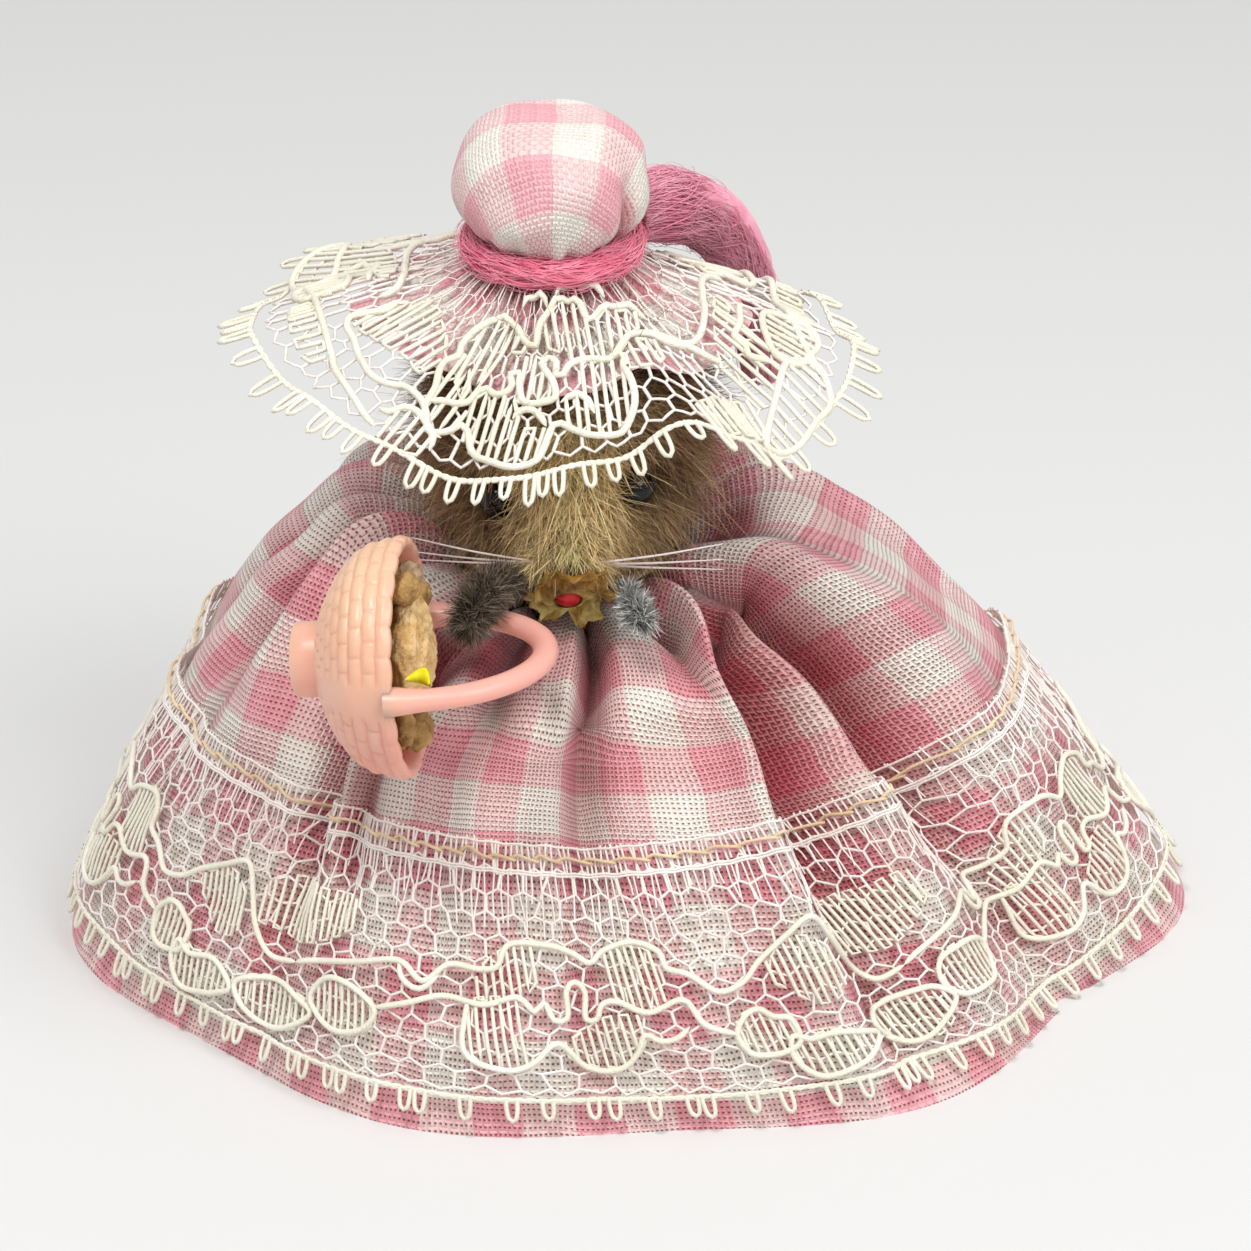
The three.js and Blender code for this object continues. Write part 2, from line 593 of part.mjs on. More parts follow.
// The arms: a sleeve of pile on the end of the twisted wire

function arm(name, line) {
  const start = line[1].clone().sub(line[0]).normalize();
  const wireStart = line[0].clone().addScaledVector(start, BEND_GAP);
  add(name + "_wire", rod([wireStart, ...line.slice(1)], WIRE_RADIUS, 6, 12), WIRE);
  const outline = [
    [PILE_START, 0.55], [PILE_START + 0.07, 0.74], [0.28, 0.86], [0.4, 0.97], [0.52, 1], [0.64, 1.02], [0.76, 1.02],
    [0.88, 0.95], [0.95, 0.72],
  ].map(([at, size]) => [at, size * PILE_RADIUS]);
  add(name + "_pile", sleeve(line, WIRE_RADIUS + CLEARANCE * 0.7, outline, 12), CHENILLE);
}
arm("left_arm", LEFT_ARM);
arm("right_arm", RIGHT_ARM);

// The mob cap: one round of check cloth, tied over a ball of stuffing, whose edge spreads as a ruffle

const brimDrop = smooth(BRIM_DROP);
const BRIM_TOP = TIE_CENTRE.z - YARN_HALF_HEIGHT - CLEARANCE - CLOTH;

function brimBase(angle, share) {
  const edge = 1 / Math.hypot(Math.cos(angle) / BRIM_SIDE_RADIUS, Math.sin(angle) / BRIM_DEPTH_RADIUS);
  const radius = BRIM_START_RADIUS + (edge - BRIM_START_RADIUS) * share;
  const y = radius * Math.sin(angle);
  const drop = brimDrop(THREE.MathUtils.radToDeg(apart(angle, 0))) * share ** 1.2;
  const z = BRIM_TOP + CAP_TILT * y * (1 - 0.6 * share) - drop;
  return new THREE.Vector3(TIE_CENTRE.x + radius * Math.cos(angle), TIE_CENTRE.y + y, z);
}

function brimSurface(angle, share, i) {
  const tooth = share >= 0.999 && i % 2 === 0;
  const out = outward(brimBase, angle, Math.min(share, 1));
  const wave = BRIM_WAVE_DEPTH * share ** 1.5 * Math.cos(BRIM_WAVES * (angle - FRONT) + 0.4);
  const point = brimBase(angle, tooth ? BRIM_TOOTH : share).addScaledVector(out, wave);
  return { point, out };
}

const BRIM_AROUND = BRIM_WAVES * 6;
add("brim_lace", clothSolid(BRIM_AROUND, [0.06, 0.22, 0.42, 0.65, 0.85, 1], brimSurface, 0, CLOTH), LACE);

const puffProfile = smooth([
  [0, 0], [0.18, 0.566 * PUFF_RADIUS], [0.36, 0.906 * PUFF_RADIUS], [0.52, PUFF_RADIUS],
  [0.68, 0.969 * PUFF_RADIUS], [0.84, 0.8 * PUFF_RADIUS], [1, CAP_WAIST_RADIUS],
]);
const puffRise = smooth([
  [0, PUFF_HEIGHT], [0.18, 0.95 * PUFF_HEIGHT], [0.36, 0.773 * PUFF_HEIGHT], [0.52, 0.536 * PUFF_HEIGHT],
  [0.68, 0.34 * PUFF_HEIGHT], [0.84, 0.19 * PUFF_HEIGHT], [1, 0],
]);

function puffRing(share, inset) {
  const radius = Math.max(puffProfile(share) - inset, 0.01);
  const gather = 0.28 * share ** 4;
  return Array.from({ length: BRIM_AROUND }, (_, i) => {
    const angle = (i / BRIM_AROUND) * TAU + FRONT;
    const reach = radius * (1 + (gather * Math.cos(PUFF_GATHERS * angle)) / PUFF_RADIUS);
    const y = reach * Math.sin(angle);
    const down = inset * Math.max(0, 1 - share * 1.9);
    const rise = puffRise(share) - down + CAP_TILT * y;
    return TIE_CENTRE.clone().add(new THREE.Vector3(reach * Math.cos(angle), y, rise));
  });
}

function ruffleRing(share, lift) {
  return Array.from({ length: BRIM_AROUND }, (_, i) => {
    const { point, out } = brimSurface((i / BRIM_AROUND) * TAU + FRONT, share, 1);
    return point.addScaledVector(out, lift);
  });
}

const pole = (height) => [TIE_CENTRE.clone().add(new THREE.Vector3(0, 0, height))];
const puffShares = [0.14, 0.3, 0.46, 0.62, 0.78, 0.9, 1];
const ruffleShares = [0.03, 0.22, RUFFLE_SHARE];
const capRings = [
  pole(PUFF_HEIGHT),
  ...puffShares.map((share) => puffRing(share, 0)),
  ...ruffleShares.map((share) => ruffleRing(share, -CLEARANCE)),
  ...ruffleShares.map((share) => ruffleRing(share, -CLEARANCE - CLOTH)).reverse(),
  ...puffShares.map((share) => puffRing(share, CLOTH)).reverse(),
  pole(PUFF_HEIGHT - CLOTH),
];
add("mob_cap", stack(capRings, false), CHECK_CLOTH);

const STUFFING_INSET = CLOTH + CLEARANCE + 0.35;
const stuffingRings = [0.2, 0.38, 0.55, 0.7, 0.82].map((share) =>
  puffRing(share, STUFFING_INSET).filter((_, i) => i % 3 === 0),
);
const stuffingTop = pole(PUFF_HEIGHT - STUFFING_INSET - 0.35);
add("cap_stuffing", stack([stuffingTop, ...stuffingRings, pole(1.3)], false), STUFFING);

// The yarn round the waist of the cap, its knot, and its free end

const yarnRings = Array.from({ length: 8 }, (_, j) => {
  const turn = (j / 8) * TAU;
  return Array.from({ length: 36 }, (_, i) => {
    const angle = (i / 36) * TAU;
    const reach = YARN_RADIUS + YARN_HALF_WIDTH * Math.cos(turn);
    const y = reach * Math.sin(angle);
    return new THREE.Vector3(
      TIE_CENTRE.x + reach * Math.cos(angle), TIE_CENTRE.y + y,
      TIE_CENTRE.z + YARN_HALF_HEIGHT * Math.sin(turn) + CAP_TILT * y + 0.1,
    );
  });
});
add("yarn_tie", stack(yarnRings, true), YARN);

const knotDirection = new THREE.Vector3(Math.cos(KNOT_ANGLE), Math.sin(KNOT_ANGLE), 0);
const knotAt = TIE_CENTRE.clone()
  .addScaledVector(knotDirection, YARN_RADIUS + YARN_HALF_WIDTH + CLEARANCE + KNOT_RADIUS * KNOT_THICKNESS)
  .add(new THREE.Vector3(0, 0, KNOT_RISE));
const knot = ball(new THREE.Vector3(), KNOT_RADIUS, 12, 8).scale(KNOT_THICKNESS, 1, 1);
knot.rotateZ(KNOT_ANGLE).translate(knotAt.x, knotAt.y, knotAt.z);
add("yarn_knot", knot, YARN);

const tailStart = knotAt.clone().addScaledVector(knotDirection, KNOT_RADIUS * KNOT_THICKNESS + CLEARANCE + 0.15);
const tailLine = TAIL_DROP.map((step) => tailStart.clone().add(new THREE.Vector3(...step)));
const tailOutline = [
  [0, 0.45], [0.08, 0.75], [0.2, 0.95], [0.33, 1], [0.46, 1], [0.6, 1], [0.74, 0.95], [0.88, 0.8], [0.97, 0.45],
].map(([at, size]) => [at, size * TAIL_RADIUS]);
add("yarn_tail", limb(tailLine, tailOutline, 10), YARN);

// The basket: a moulded bowl on a foot, woven outside, with a fixed handle

const bowlOutside = [
  [FOOT_RADIUS, 0], [FOOT_RADIUS, FOOT_HEIGHT], [FOOT_RADIUS - 0.1, FOOT_HEIGHT + 0.2],
  ...[[0.5, 0.319], [0.713, 0.44], [0.894, 0.615], [0.963, 0.802], [1, 1]].map(
    ([reach, height]) => [reach * BASKET_RADIUS, height * BASKET_DEPTH],
  ),
];
const insideRadius = BASKET_RADIUS - BASKET_WALL;
const bowlInside = [[1, 1], [0.977, 0.791], [0.86, 0.637], [0.674, 0.505], [0.395, 0.429]].map(
  ([reach, height]) => [reach * insideRadius, height * BASKET_DEPTH],
);
function basketRing([radius, height], row) {
  const around = WEAVE_STAKES * 4;
  return Array.from({ length: around }, (_, i) => {
    const angle = (i / around) * TAU;
    const relief = row < 0 ? 0 : STAKE_RELIEF * Math.cos(WEAVE_STAKES * angle + row * Math.PI);
    const reach = radius + relief;
    return new THREE.Vector3(reach * Math.cos(angle), reach * Math.sin(angle), height);
  });
}
const bowl = stack(
  [
    [new THREE.Vector3(0, 0, 0)],
    ...bowlOutside.map((at, k) => basketRing(at, k < 3 ? -1 : k)),
    ...bowlInside.map((at) => basketRing(at, -1)),
    [new THREE.Vector3(0, 0, 0.407 * BASKET_DEPTH)],
  ],
  false,
);

const handleEnd = BASKET_RADIUS - HANDLE_HALF_THICKNESS + 0.25;
const HANDLE_FOOT = BASKET_DEPTH - 0.6; // where it leaves the bowl
const handleLine = evenly(0, 1, 8).map((share) => {
  const angle = Math.PI * share;
  const height = HANDLE_FOOT + (HANDLE_RISE - 0.3) * Math.sin(angle) ** 0.9;
  return new THREE.Vector3(handleEnd * Math.cos(angle), 0, height);
});
const handle = rod(handleLine, HANDLE_HALF_THICKNESS, 10, 28, HANDLE_HALF_WIDTH);

// Each end of the handle runs down the bowl as a plain strap
const strapLine = bowlOutside.slice(3).map(([radius, height]) => new THREE.Vector2(radius, height));
const strapOutline = new THREE.Shape([
  ...strapLine.map((at) => new THREE.Vector2(at.x + STAKE_RELIEF + STRAP_PROUD, at.y)),
  ...strapLine.map((at) => new THREE.Vector2(at.x - STRAP_SINK, at.y)).reverse(),
]);
function strap(side) {
  const plate = new THREE.ExtrudeGeometry(strapOutline, { depth: 2 * STRAP_HALF_WIDTH, bevelEnabled: false });
  plate.translate(0, 0, -STRAP_HALF_WIDTH).rotateX(Math.PI / 2);
  if (side < 0) plate.rotateZ(Math.PI);
  return solidOf(plate);
}
const basketSolid = solidOf(bowl).add(solidOf(handle)).add(strap(1)).add(strap(-1));

// The basket's own frame: its foot is at the origin, its rim towards +Z, and its handle spans X
const basketZ = BASKET_AXIS.clone();
const basketX = HANDLE_SIDE.clone().addScaledVector(basketZ, -HANDLE_SIDE.dot(basketZ)).normalize();
const basketY = basketZ.clone().cross(basketX);
const basketPlace = new THREE.Matrix4().makeBasis(basketX, basketY, basketZ);
basketPlace.setPosition(RIM_CENTRE.clone().addScaledVector(basketZ, -BASKET_DEPTH));

function addToBasket(name, geometry, material) {
  add(name, geometry.applyMatrix4(basketPlace), material);
}
addToBasket("basket", geometryOf(basketSolid), PINK_PLASTIC);

// What lies in the basket: a bed of dried stuff, a rough lump that stands out of it, and a yellow petal
const bedRings = [
  [0.36, 0.585], [0.616, 0.69], [0.78, 0.84], [0.86, 0.98], [0.855, 1.11], [0.85, 1.16],
  [0.81, BED_RIM / BED_TOP], [0.72, 1.18], [0.64, 1.02],
].map(([reach, height]) => ringAt(new THREE.Vector3(0, 0, height * BED_TOP), reach * insideRadius, 28));
const bedPoles = [0.56 * BED_TOP, BED_TOP].map((height) => [new THREE.Vector3(0, 0, height)]);
addToBasket("basket_bed", stack([bedPoles[0], ...bedRings, bedPoles[1]], false), LEAF);

function lump(middle, radii, seed) {
  const shape = new THREE.SphereGeometry(1, 16, 10);
  const at = shape.getAttribute("position");
  for (let k = 0; k < at.count; k += 1) {
    const [x, y, z] = [at.getX(k), at.getY(k), at.getZ(k)];
    const rough = 1 + 0.05 * Math.sin(5 * x + seed) * Math.cos(4 * y - seed) + 0.04 * Math.sin(7 * z + 3 * x);
    at.setXYZ(k, x * radii.x * rough, y * radii.y * rough, z * radii.z * rough);
  }
  return shape.translate(middle.x, middle.y, middle.z);
}
const lumpAt = new THREE.Vector3(-0.1, -0.6, BED_TOP + CLEARANCE + LUMP_HALF.z * 1.09);
addToBasket("basket_lump", lump(lumpAt, LUMP_HALF, 1.3), CORK);

const petalShape = new THREE.Shape();
petalShape.moveTo(0, 0);
petalShape.quadraticCurveTo(PETAL_LENGTH / 2, 0.7, PETAL_LENGTH, 0);
petalShape.quadraticCurveTo(PETAL_LENGTH / 2, -0.8, 0, 0);
const petalSize = { depth: PETAL_THICKNESS, bevelEnabled: false, curveSegments: 5 };
const petal = new THREE.ExtrudeGeometry(petalShape, petalSize).rotateY(-Math.PI / 2.6).rotateZ(-0.3);
petal.translate(PETAL_AT.x, PETAL_AT.y, PETAL_AT.z);
addToBasket("yellow_petal", petal, YELLOW);

export default doll;
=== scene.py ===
"""A small mouse doll in a gathered check dress and lace-edged mob cap, with a moulded basket over one arm.

Lengths in this file are in millimetres, as in the part's source, and become metres when a mesh is made.
"""
import math

import bpy
import numpy as np
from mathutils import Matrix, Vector


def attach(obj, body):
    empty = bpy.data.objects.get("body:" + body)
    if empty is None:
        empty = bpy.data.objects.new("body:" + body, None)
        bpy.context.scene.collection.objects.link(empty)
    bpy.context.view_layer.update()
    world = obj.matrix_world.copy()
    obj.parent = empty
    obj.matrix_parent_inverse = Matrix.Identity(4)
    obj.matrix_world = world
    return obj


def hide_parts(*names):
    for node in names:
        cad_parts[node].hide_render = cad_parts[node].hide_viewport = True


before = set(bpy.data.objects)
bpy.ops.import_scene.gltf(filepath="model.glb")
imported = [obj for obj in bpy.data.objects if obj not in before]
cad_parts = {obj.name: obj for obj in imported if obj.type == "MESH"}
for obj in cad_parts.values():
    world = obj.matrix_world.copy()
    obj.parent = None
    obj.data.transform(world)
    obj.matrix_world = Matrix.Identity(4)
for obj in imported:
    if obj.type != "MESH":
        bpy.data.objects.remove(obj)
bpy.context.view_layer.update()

MM = 0.001
TAU = 2 * math.pi
FRONT = -math.pi / 2

# Driving dimensions, as in the part's source
CLOTH = 0.8
HEM_HALF_WIDTH, HEM_HALF_DEPTH = 48.4, 42.6
NECK_RADIUS, NECK_HEIGHT, SHOULDER_HEIGHT = 9.4, 36.5, 40.4
LACE_TOP, LACE_RISE, LACE_FOOT = 0.585, 0.045, 0.93
HEM_SWELL, DENT_DEPTH, TUCK_DEPTH = 0.35, 1.6, 3.6
HEAD_RADIUS = 10.3
HEAD = np.array([-3, -9, 49.3])
SNOUT_LENGTH, SNOUT_RADIUS, SNOUT_TIP, SNOUT_FALL = 17.3, 2.6, 1.4, 0.6
HEAD_ROLL = 0.09
EYE_RADIUS, EYE_FORWARD, EYE_TURN, EYE_PROUD = 1.55, 10.4, 1.12, 0.3
NOSE_RADIUS = 1.25
TIE = np.array([-4, -8, 63.1])
CAP_TILT = 0.06
CAP_WAIST = 4.4
YARN_HALF_WIDTH, YARN_HALF_HEIGHT = 1.15, 1.05
CLEARANCE = 0.3
YARN_RADIUS = CAP_WAIST + CLEARANCE + YARN_HALF_WIDTH + 0.45
BRIM_START, BRIM_SIDE, BRIM_DEPTH = 5.5, 24.6, 19.5
BRIM_WAVES, BRIM_WAVE_DEPTH = 9, 0.7
BRIM_DROP = [
    [-180, 5.1], [-165, 5.5], [-150, 6.2], [-135, 8.2], [-120, 9.5], [-105, 10.5], [-90, 9.8], [-75, 8.3],
    [-60, 6.7], [-47, 8.8], [-36, 11], [-25, 10], [-14, 8.6], [0, 7.3], [20, 7.7], [45, 8.8], [70, 9.6],
    [90, 9.4], [105, 7.6], [120, 5], [135, 4.1], [150, 5], [165, 5.2], [180, 5.1],
]
KNOT_ANGLE, KNOT_RADIUS, KNOT_RISE = 0.62, 1.9, 0.9
TAIL_DROP = np.array([
    [0, 0, 0], [1.5, 1.4, 0.1], [3.2, 3.3, -0.6], [4.9, 5.8, -2.2], [6.5, 8.5, -5], [7.8, 11.2, -8.7],
    [8.6, 13, -12.8], [8.9, 13.6, -17], [8.9, 13.9, -21.2],
])
LEFT_ARM = np.array([[-6.2, -20.6, 37.8], [-7.6, -24.6, 40.3], [-9.2, -28.6, 41.1], [-10.6, -32.4, 39.9]])
RIGHT_ARM = np.array([[1.4, -20.6, 38.2], [2.4, -24, 38.5], [3.4, -27.4, 38]])
BASKET_RADIUS, BASKET_DEPTH = 9.4, 9.1
FOOT_RADIUS, FOOT_HEIGHT = 3.0, 2.1
HANDLE_RISE, HANDLE_HALF_WIDTH, HANDLE_HALF_THICKNESS = 11.6, 1.15, 0.95
RIM_CENTRE = np.array([-14.9, -34.4, 38.4])
BASKET_AXIS = np.array([0.99, -0.1, 0.07])
HANDLE_SIDE = np.array([-0.1, -0.99, 0.06])
WEAVE_STAKES = 24
BED_TOP, BED_RIM, BED_RADIUS = 7.2, 8.6, 7.4
LUMP_HALF = np.array([4.4, 4.6, 1.6])
# Each whisker: how far along the snout and how high its middle is, and how its left and right tips rise
WHISKERS = [
    ("upper", 16.2, 1.3, 1.75, 1.2),
    ("middle", 15.9, 0.8, 0.5, -0.2),
    ("lower", 15.6, 0.3, -0.2, -1.1),
]
WHISKER_SPAN, WHISKER_SWEEP = 12.6, 1.2
PAD_RADIUS, PAD_HEIGHT = 15.0, 1.5
TRUNK_FOOT, TRUNK_HEIGHT = 1.8, 40.2
GATHER_AT = 0.83


# Small tools

def unit(v):
    """Vectors of length 1 in the same directions."""
    return v / np.maximum(np.linalg.norm(v, axis=-1, keepdims=True), 1e-9)


def smooth(pairs):
    """A smooth curve through [place, value] pairs, with the slopes of a Catmull-Rom spline."""
    x, y = np.array(pairs, float).T
    before = np.maximum(np.arange(len(x)) - 1, 0)
    after = np.minimum(np.arange(len(x)) + 1, len(x) - 1)
    slope = (y[after] - y[before]) / (x[after] - x[before])

    def value(at):
        at = np.asarray(at, float)
        k = np.clip(np.searchsorted(x, at, side="left") - 1, 0, len(x) - 2)
        span = x[k + 1] - x[k]
        f = (at - x[k]) / span
        start = y[k] * (2 * f**3 - 3 * f**2 + 1) + slope[k] * span * (f**3 - 2 * f**2 + f)
        return start + y[k + 1] * (3 * f**2 - 2 * f**3) + slope[k + 1] * span * (f**3 - f**2)

    return value


def flow(points, spacing, closed=False):
    """A smooth line through points, with a point about every spacing."""
    p = np.asarray(points, float)
    ends = (p[-1:], p[:2]) if closed else (2 * p[:1] - p[1:2], 2 * p[-1:] - p[-2:-1])
    q = np.vstack([ends[0], p, ends[1]])
    parts = []
    for a, b, c, d in zip(q, q[1:], q[2:], q[3:]):
        count = max(1, round(float(np.linalg.norm(c - b)) / spacing))
        t = np.arange(count)[:, None] / count
        cubic = (3 * b - a - 3 * c + d) * t**3
        parts.append((2 * b + (c - a) * t + (2 * a - 5 * b + 4 * c - d) * t**2 + cubic) / 2)
    return np.vstack(parts if closed else [*parts, p[-1:]])


def ripple(points, size, seed, count=8):
    """A soft random swell over points in space, about -1 to 1, whose humps are about size apart."""
    rng = np.random.default_rng(seed)
    total = np.zeros(np.shape(points)[:-1])
    for _ in range(count):
        way = unit(rng.normal(size=3)) * TAU / (size * rng.uniform(0.7, 1.6))
        total += np.sin(points @ way + rng.uniform(0, TAU))
    return total / math.sqrt(count)


def grid_faces(rows, columns, wrap=True):
    """Quads over a grid of points, which joins up sideways where it wraps."""
    i, j = np.meshgrid(np.arange(rows - 1), np.arange(columns if wrap else columns - 1), indexing="ij")
    near, far = i * columns, (i + 1) * columns
    k = (j + 1) % columns
    return np.stack([near + j, near + k, far + k, far + j], -1).reshape(-1, 4)


def grid_uv(u, v):
    """A (u, v) pair for each corner of grid_faces, from arrays with one column more than the points have."""
    first, last = slice(None, -1), slice(1, None)
    corners = [(first, first), (first, last), (last, last), (last, first)]
    return np.stack([np.stack([u[c], v[c]], -1) for c in corners], 2).reshape(-1, 2)


def round_points(reach, turn, height):
    """Points at a reach from the Z axis, a turn about it and a height. All three may be grids."""
    return np.stack(np.broadcast_arrays(reach * np.cos(turn), reach * np.sin(turn), height), -1)


def along_line(path):
    """The directions ahead, aside and up at each point of a line."""
    ahead = unit(np.gradient(path, axis=0))
    side = unit(np.cross(ahead, [0.1, 0, 1]))
    return ahead, side, np.cross(side, ahead)


def length_down(points):
    """The mean length down a grid of points, from its first row to each row, as a column."""
    steps = np.linalg.norm(np.diff(points, axis=0), axis=-1).mean(1)
    return np.concatenate([[0], np.cumsum(steps)])[:, None]


def piece(name, points, faces, material, slot, body="doll", stands_for=(), uv=None, tint=None):
    """A mesh object on a body, in the place of the nodes that it stands for."""
    mesh = bpy.data.meshes.new(name)
    mesh.from_pydata((np.reshape(points, (-1, 3)) * MM).tolist(), [], np.asarray(faces).tolist())
    mesh.shade_smooth()
    if uv is not None:
        mesh.uv_layers.new(name="cloth").data.foreach_set("uv", np.ravel(uv))
    if tint is not None:
        colours = np.concatenate([np.reshape(tint, (-1, 3)), np.ones((len(mesh.vertices), 1))], 1)
        mesh.color_attributes.new("tint", "FLOAT_COLOR", "POINT").data.foreach_set("color", colours.ravel())
    mesh.materials.append(material)
    thing = bpy.data.objects.new(name, mesh)
    bpy.context.scene.collection.objects.link(thing)
    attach(thing, body)
    if stands_for:
        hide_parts(*stands_for)
    return thing


def tube_parts(lines, radius, sides=6, closed=False, guide=(0, 0, 1), flat=1.0):
    """Points and quads of round tubes along lines of shape (count, steps, 3)."""
    count, steps = lines.shape[:2]
    ahead = np.roll(lines, -1, 1) - np.roll(lines, 1, 1) if closed else np.gradient(lines, axis=1)
    side = unit(np.cross(ahead, np.broadcast_to(guide, lines.shape)))
    up = unit(np.cross(side, ahead))
    turn = np.arange(sides) * TAU / sides
    wide = np.broadcast_to(radius, (count, steps))[..., None, None]
    across = np.cos(turn)[:, None] * side[:, :, None] + flat * np.sin(turn)[:, None] * up[:, :, None]
    ring = lines[:, :, None] + wide * across
    quads = grid_faces(steps + 1 if closed else steps, sides) % (steps * sides)
    faces = (np.arange(count) * steps * sides)[:, None, None] + quads
    return ring.reshape(-1, 3), faces.reshape(-1, 4)


class Bundle:
    """Many tubes gathered into one mesh."""

    def __init__(self):
        self.points, self.faces, self.total = [], [], 0

    def add(self, points, faces):
        self.points.append(points)
        self.faces.append(faces + self.total)
        self.total += len(points)

    def tube(self, line, radius, guide=(0, 0, 1), **how):
        line = np.asarray(line, float)
        lines = line if line.ndim == 3 else line[None]
        self.add(*tube_parts(lines, radius, guide=guide, **how))

    def make(self, name, material, slot, **where):
        return piece(name, np.vstack(self.points), np.vstack(self.faces), material, slot, **where)


def blades(name, roots, lean, length, width, colours, slot, curl, seed, sag=0.0, steps=4, **where):
    """Tapered hairs, each from its root along its lean."""
    rng = np.random.default_rng(seed)
    count = len(roots)
    along = np.linspace(0, 1, steps)
    reach = (np.broadcast_to(length, count) * rng.uniform(0.7, 1.2, count))[:, None, None]
    bend = rng.normal(size=(count, 1, 3)) * curl + [0, 0, -sag]
    line = roots[:, None] + reach * (lean[:, None] * along[:, None] + bend * along[:, None] ** 2)
    side = unit(np.cross(lean, rng.normal(size=(count, 3))))[:, None]
    half = (width * (1 - 0.85 * along**1.5))[:, None]
    points = np.stack([line - side * half, line + side * half], 2)
    k = np.arange(steps - 1)[:, None] * 2 + np.array([0, 1, 3, 2])
    faces = (np.arange(count) * steps * 2)[:, None, None] + k
    # Painted shade and light: each hair darker at its root, where the fur shades it, and a little brighter at
    # its tip
    shade = (0.42 + 0.72 * along)[:, None, None] * np.ones((1, 2, 1))
    tint = colours[:, None, None] * shade * rng.uniform(0.55, 1.35, (count, 1, 1, 1))
    return piece(name, points, faces.reshape(-1, 4), HAIR, slot, tint=tint, **where)


# Materials

def rgb(code):
    """A colour written as it looks on a screen, in the linear values that Blender takes."""
    shown = np.array([int(code[k:k + 2], 16) for k in (1, 3, 5)]) / 255
    return np.where(shown < 0.04045, shown / 12.92, ((shown + 0.055) / 1.055) ** 2.4)


class Shade:
    """A material and the nodes that feed it."""

    def __init__(self, name, rough=0.8, colour="#ffffff", **sockets):
        self.material = bpy.data.materials.new(name)
        self.material.use_nodes = True
        self.tree = self.material.node_tree
        self.surface = self.tree.nodes["Principled BSDF"]
        self.set(**{"Roughness": rough, "Base Color": (*rgb(colour), 1), **sockets})

    def feed(self, socket, value):
        if isinstance(value, bpy.types.NodeSocket):
            self.tree.links.new(value, socket)
        else:
            socket.default_value = value

    def set(self, **sockets):
        for name, value in sockets.items():
            self.feed(self.surface.inputs[name], value)
        return self

    def node(self, kind, inputs, out=0, **settings):
        made = self.tree.nodes.new("ShaderNode" + kind)
        for key, value in settings.items():
            setattr(made, key, value)
        for key, value in inputs.items():
            self.feed(made.inputs[key], value)
        return made.outputs[out]

    def math(self, operation, *values):
        return self.node("Math", dict(enumerate(values)), operation=operation)

    def mix(self, share, low, high):
        ends = [(*rgb(c), 1) if isinstance(c, str) else c for c in (low, high)]
        return self.node("Mix", {0: share, 6: ends[0], 7: ends[1]}, 2, data_type="RGBA")

    def times(self, one, other):
        return self.node("Mix", {0: 1.0, 6: one, 7: other}, 2, data_type="RGBA", blend_type="MULTIPLY")

    def where(self):
        return self.node("TexCoord", {}, "Object")

    def noise(self, size, detail=3):
        """Noise from 0 to 1 whose humps are about size millimetres apart."""
        return self.node("TexNoise", {"Vector": self.where(), "Scale": 1 / (size * MM), "Detail": detail})

    def ramp(self, value, low, high, to_low=0.0, to_high=1.0):
        return self.node("MapRange", {0: value, 1: low, 2: high, 3: to_low, 4: to_high})

    def bump(self, height, depth, under=None):
        """A bump of height 0 to 1 that is depth millimetres deep."""
        inputs = {"Height": height, "Distance": depth * MM, "Strength": 1.0}
        if under is not None:
            inputs["Normal"] = under
        return self.node("Bump", inputs)


WARP_PITCH, WEFT_PITCH = 0.42, 0.48


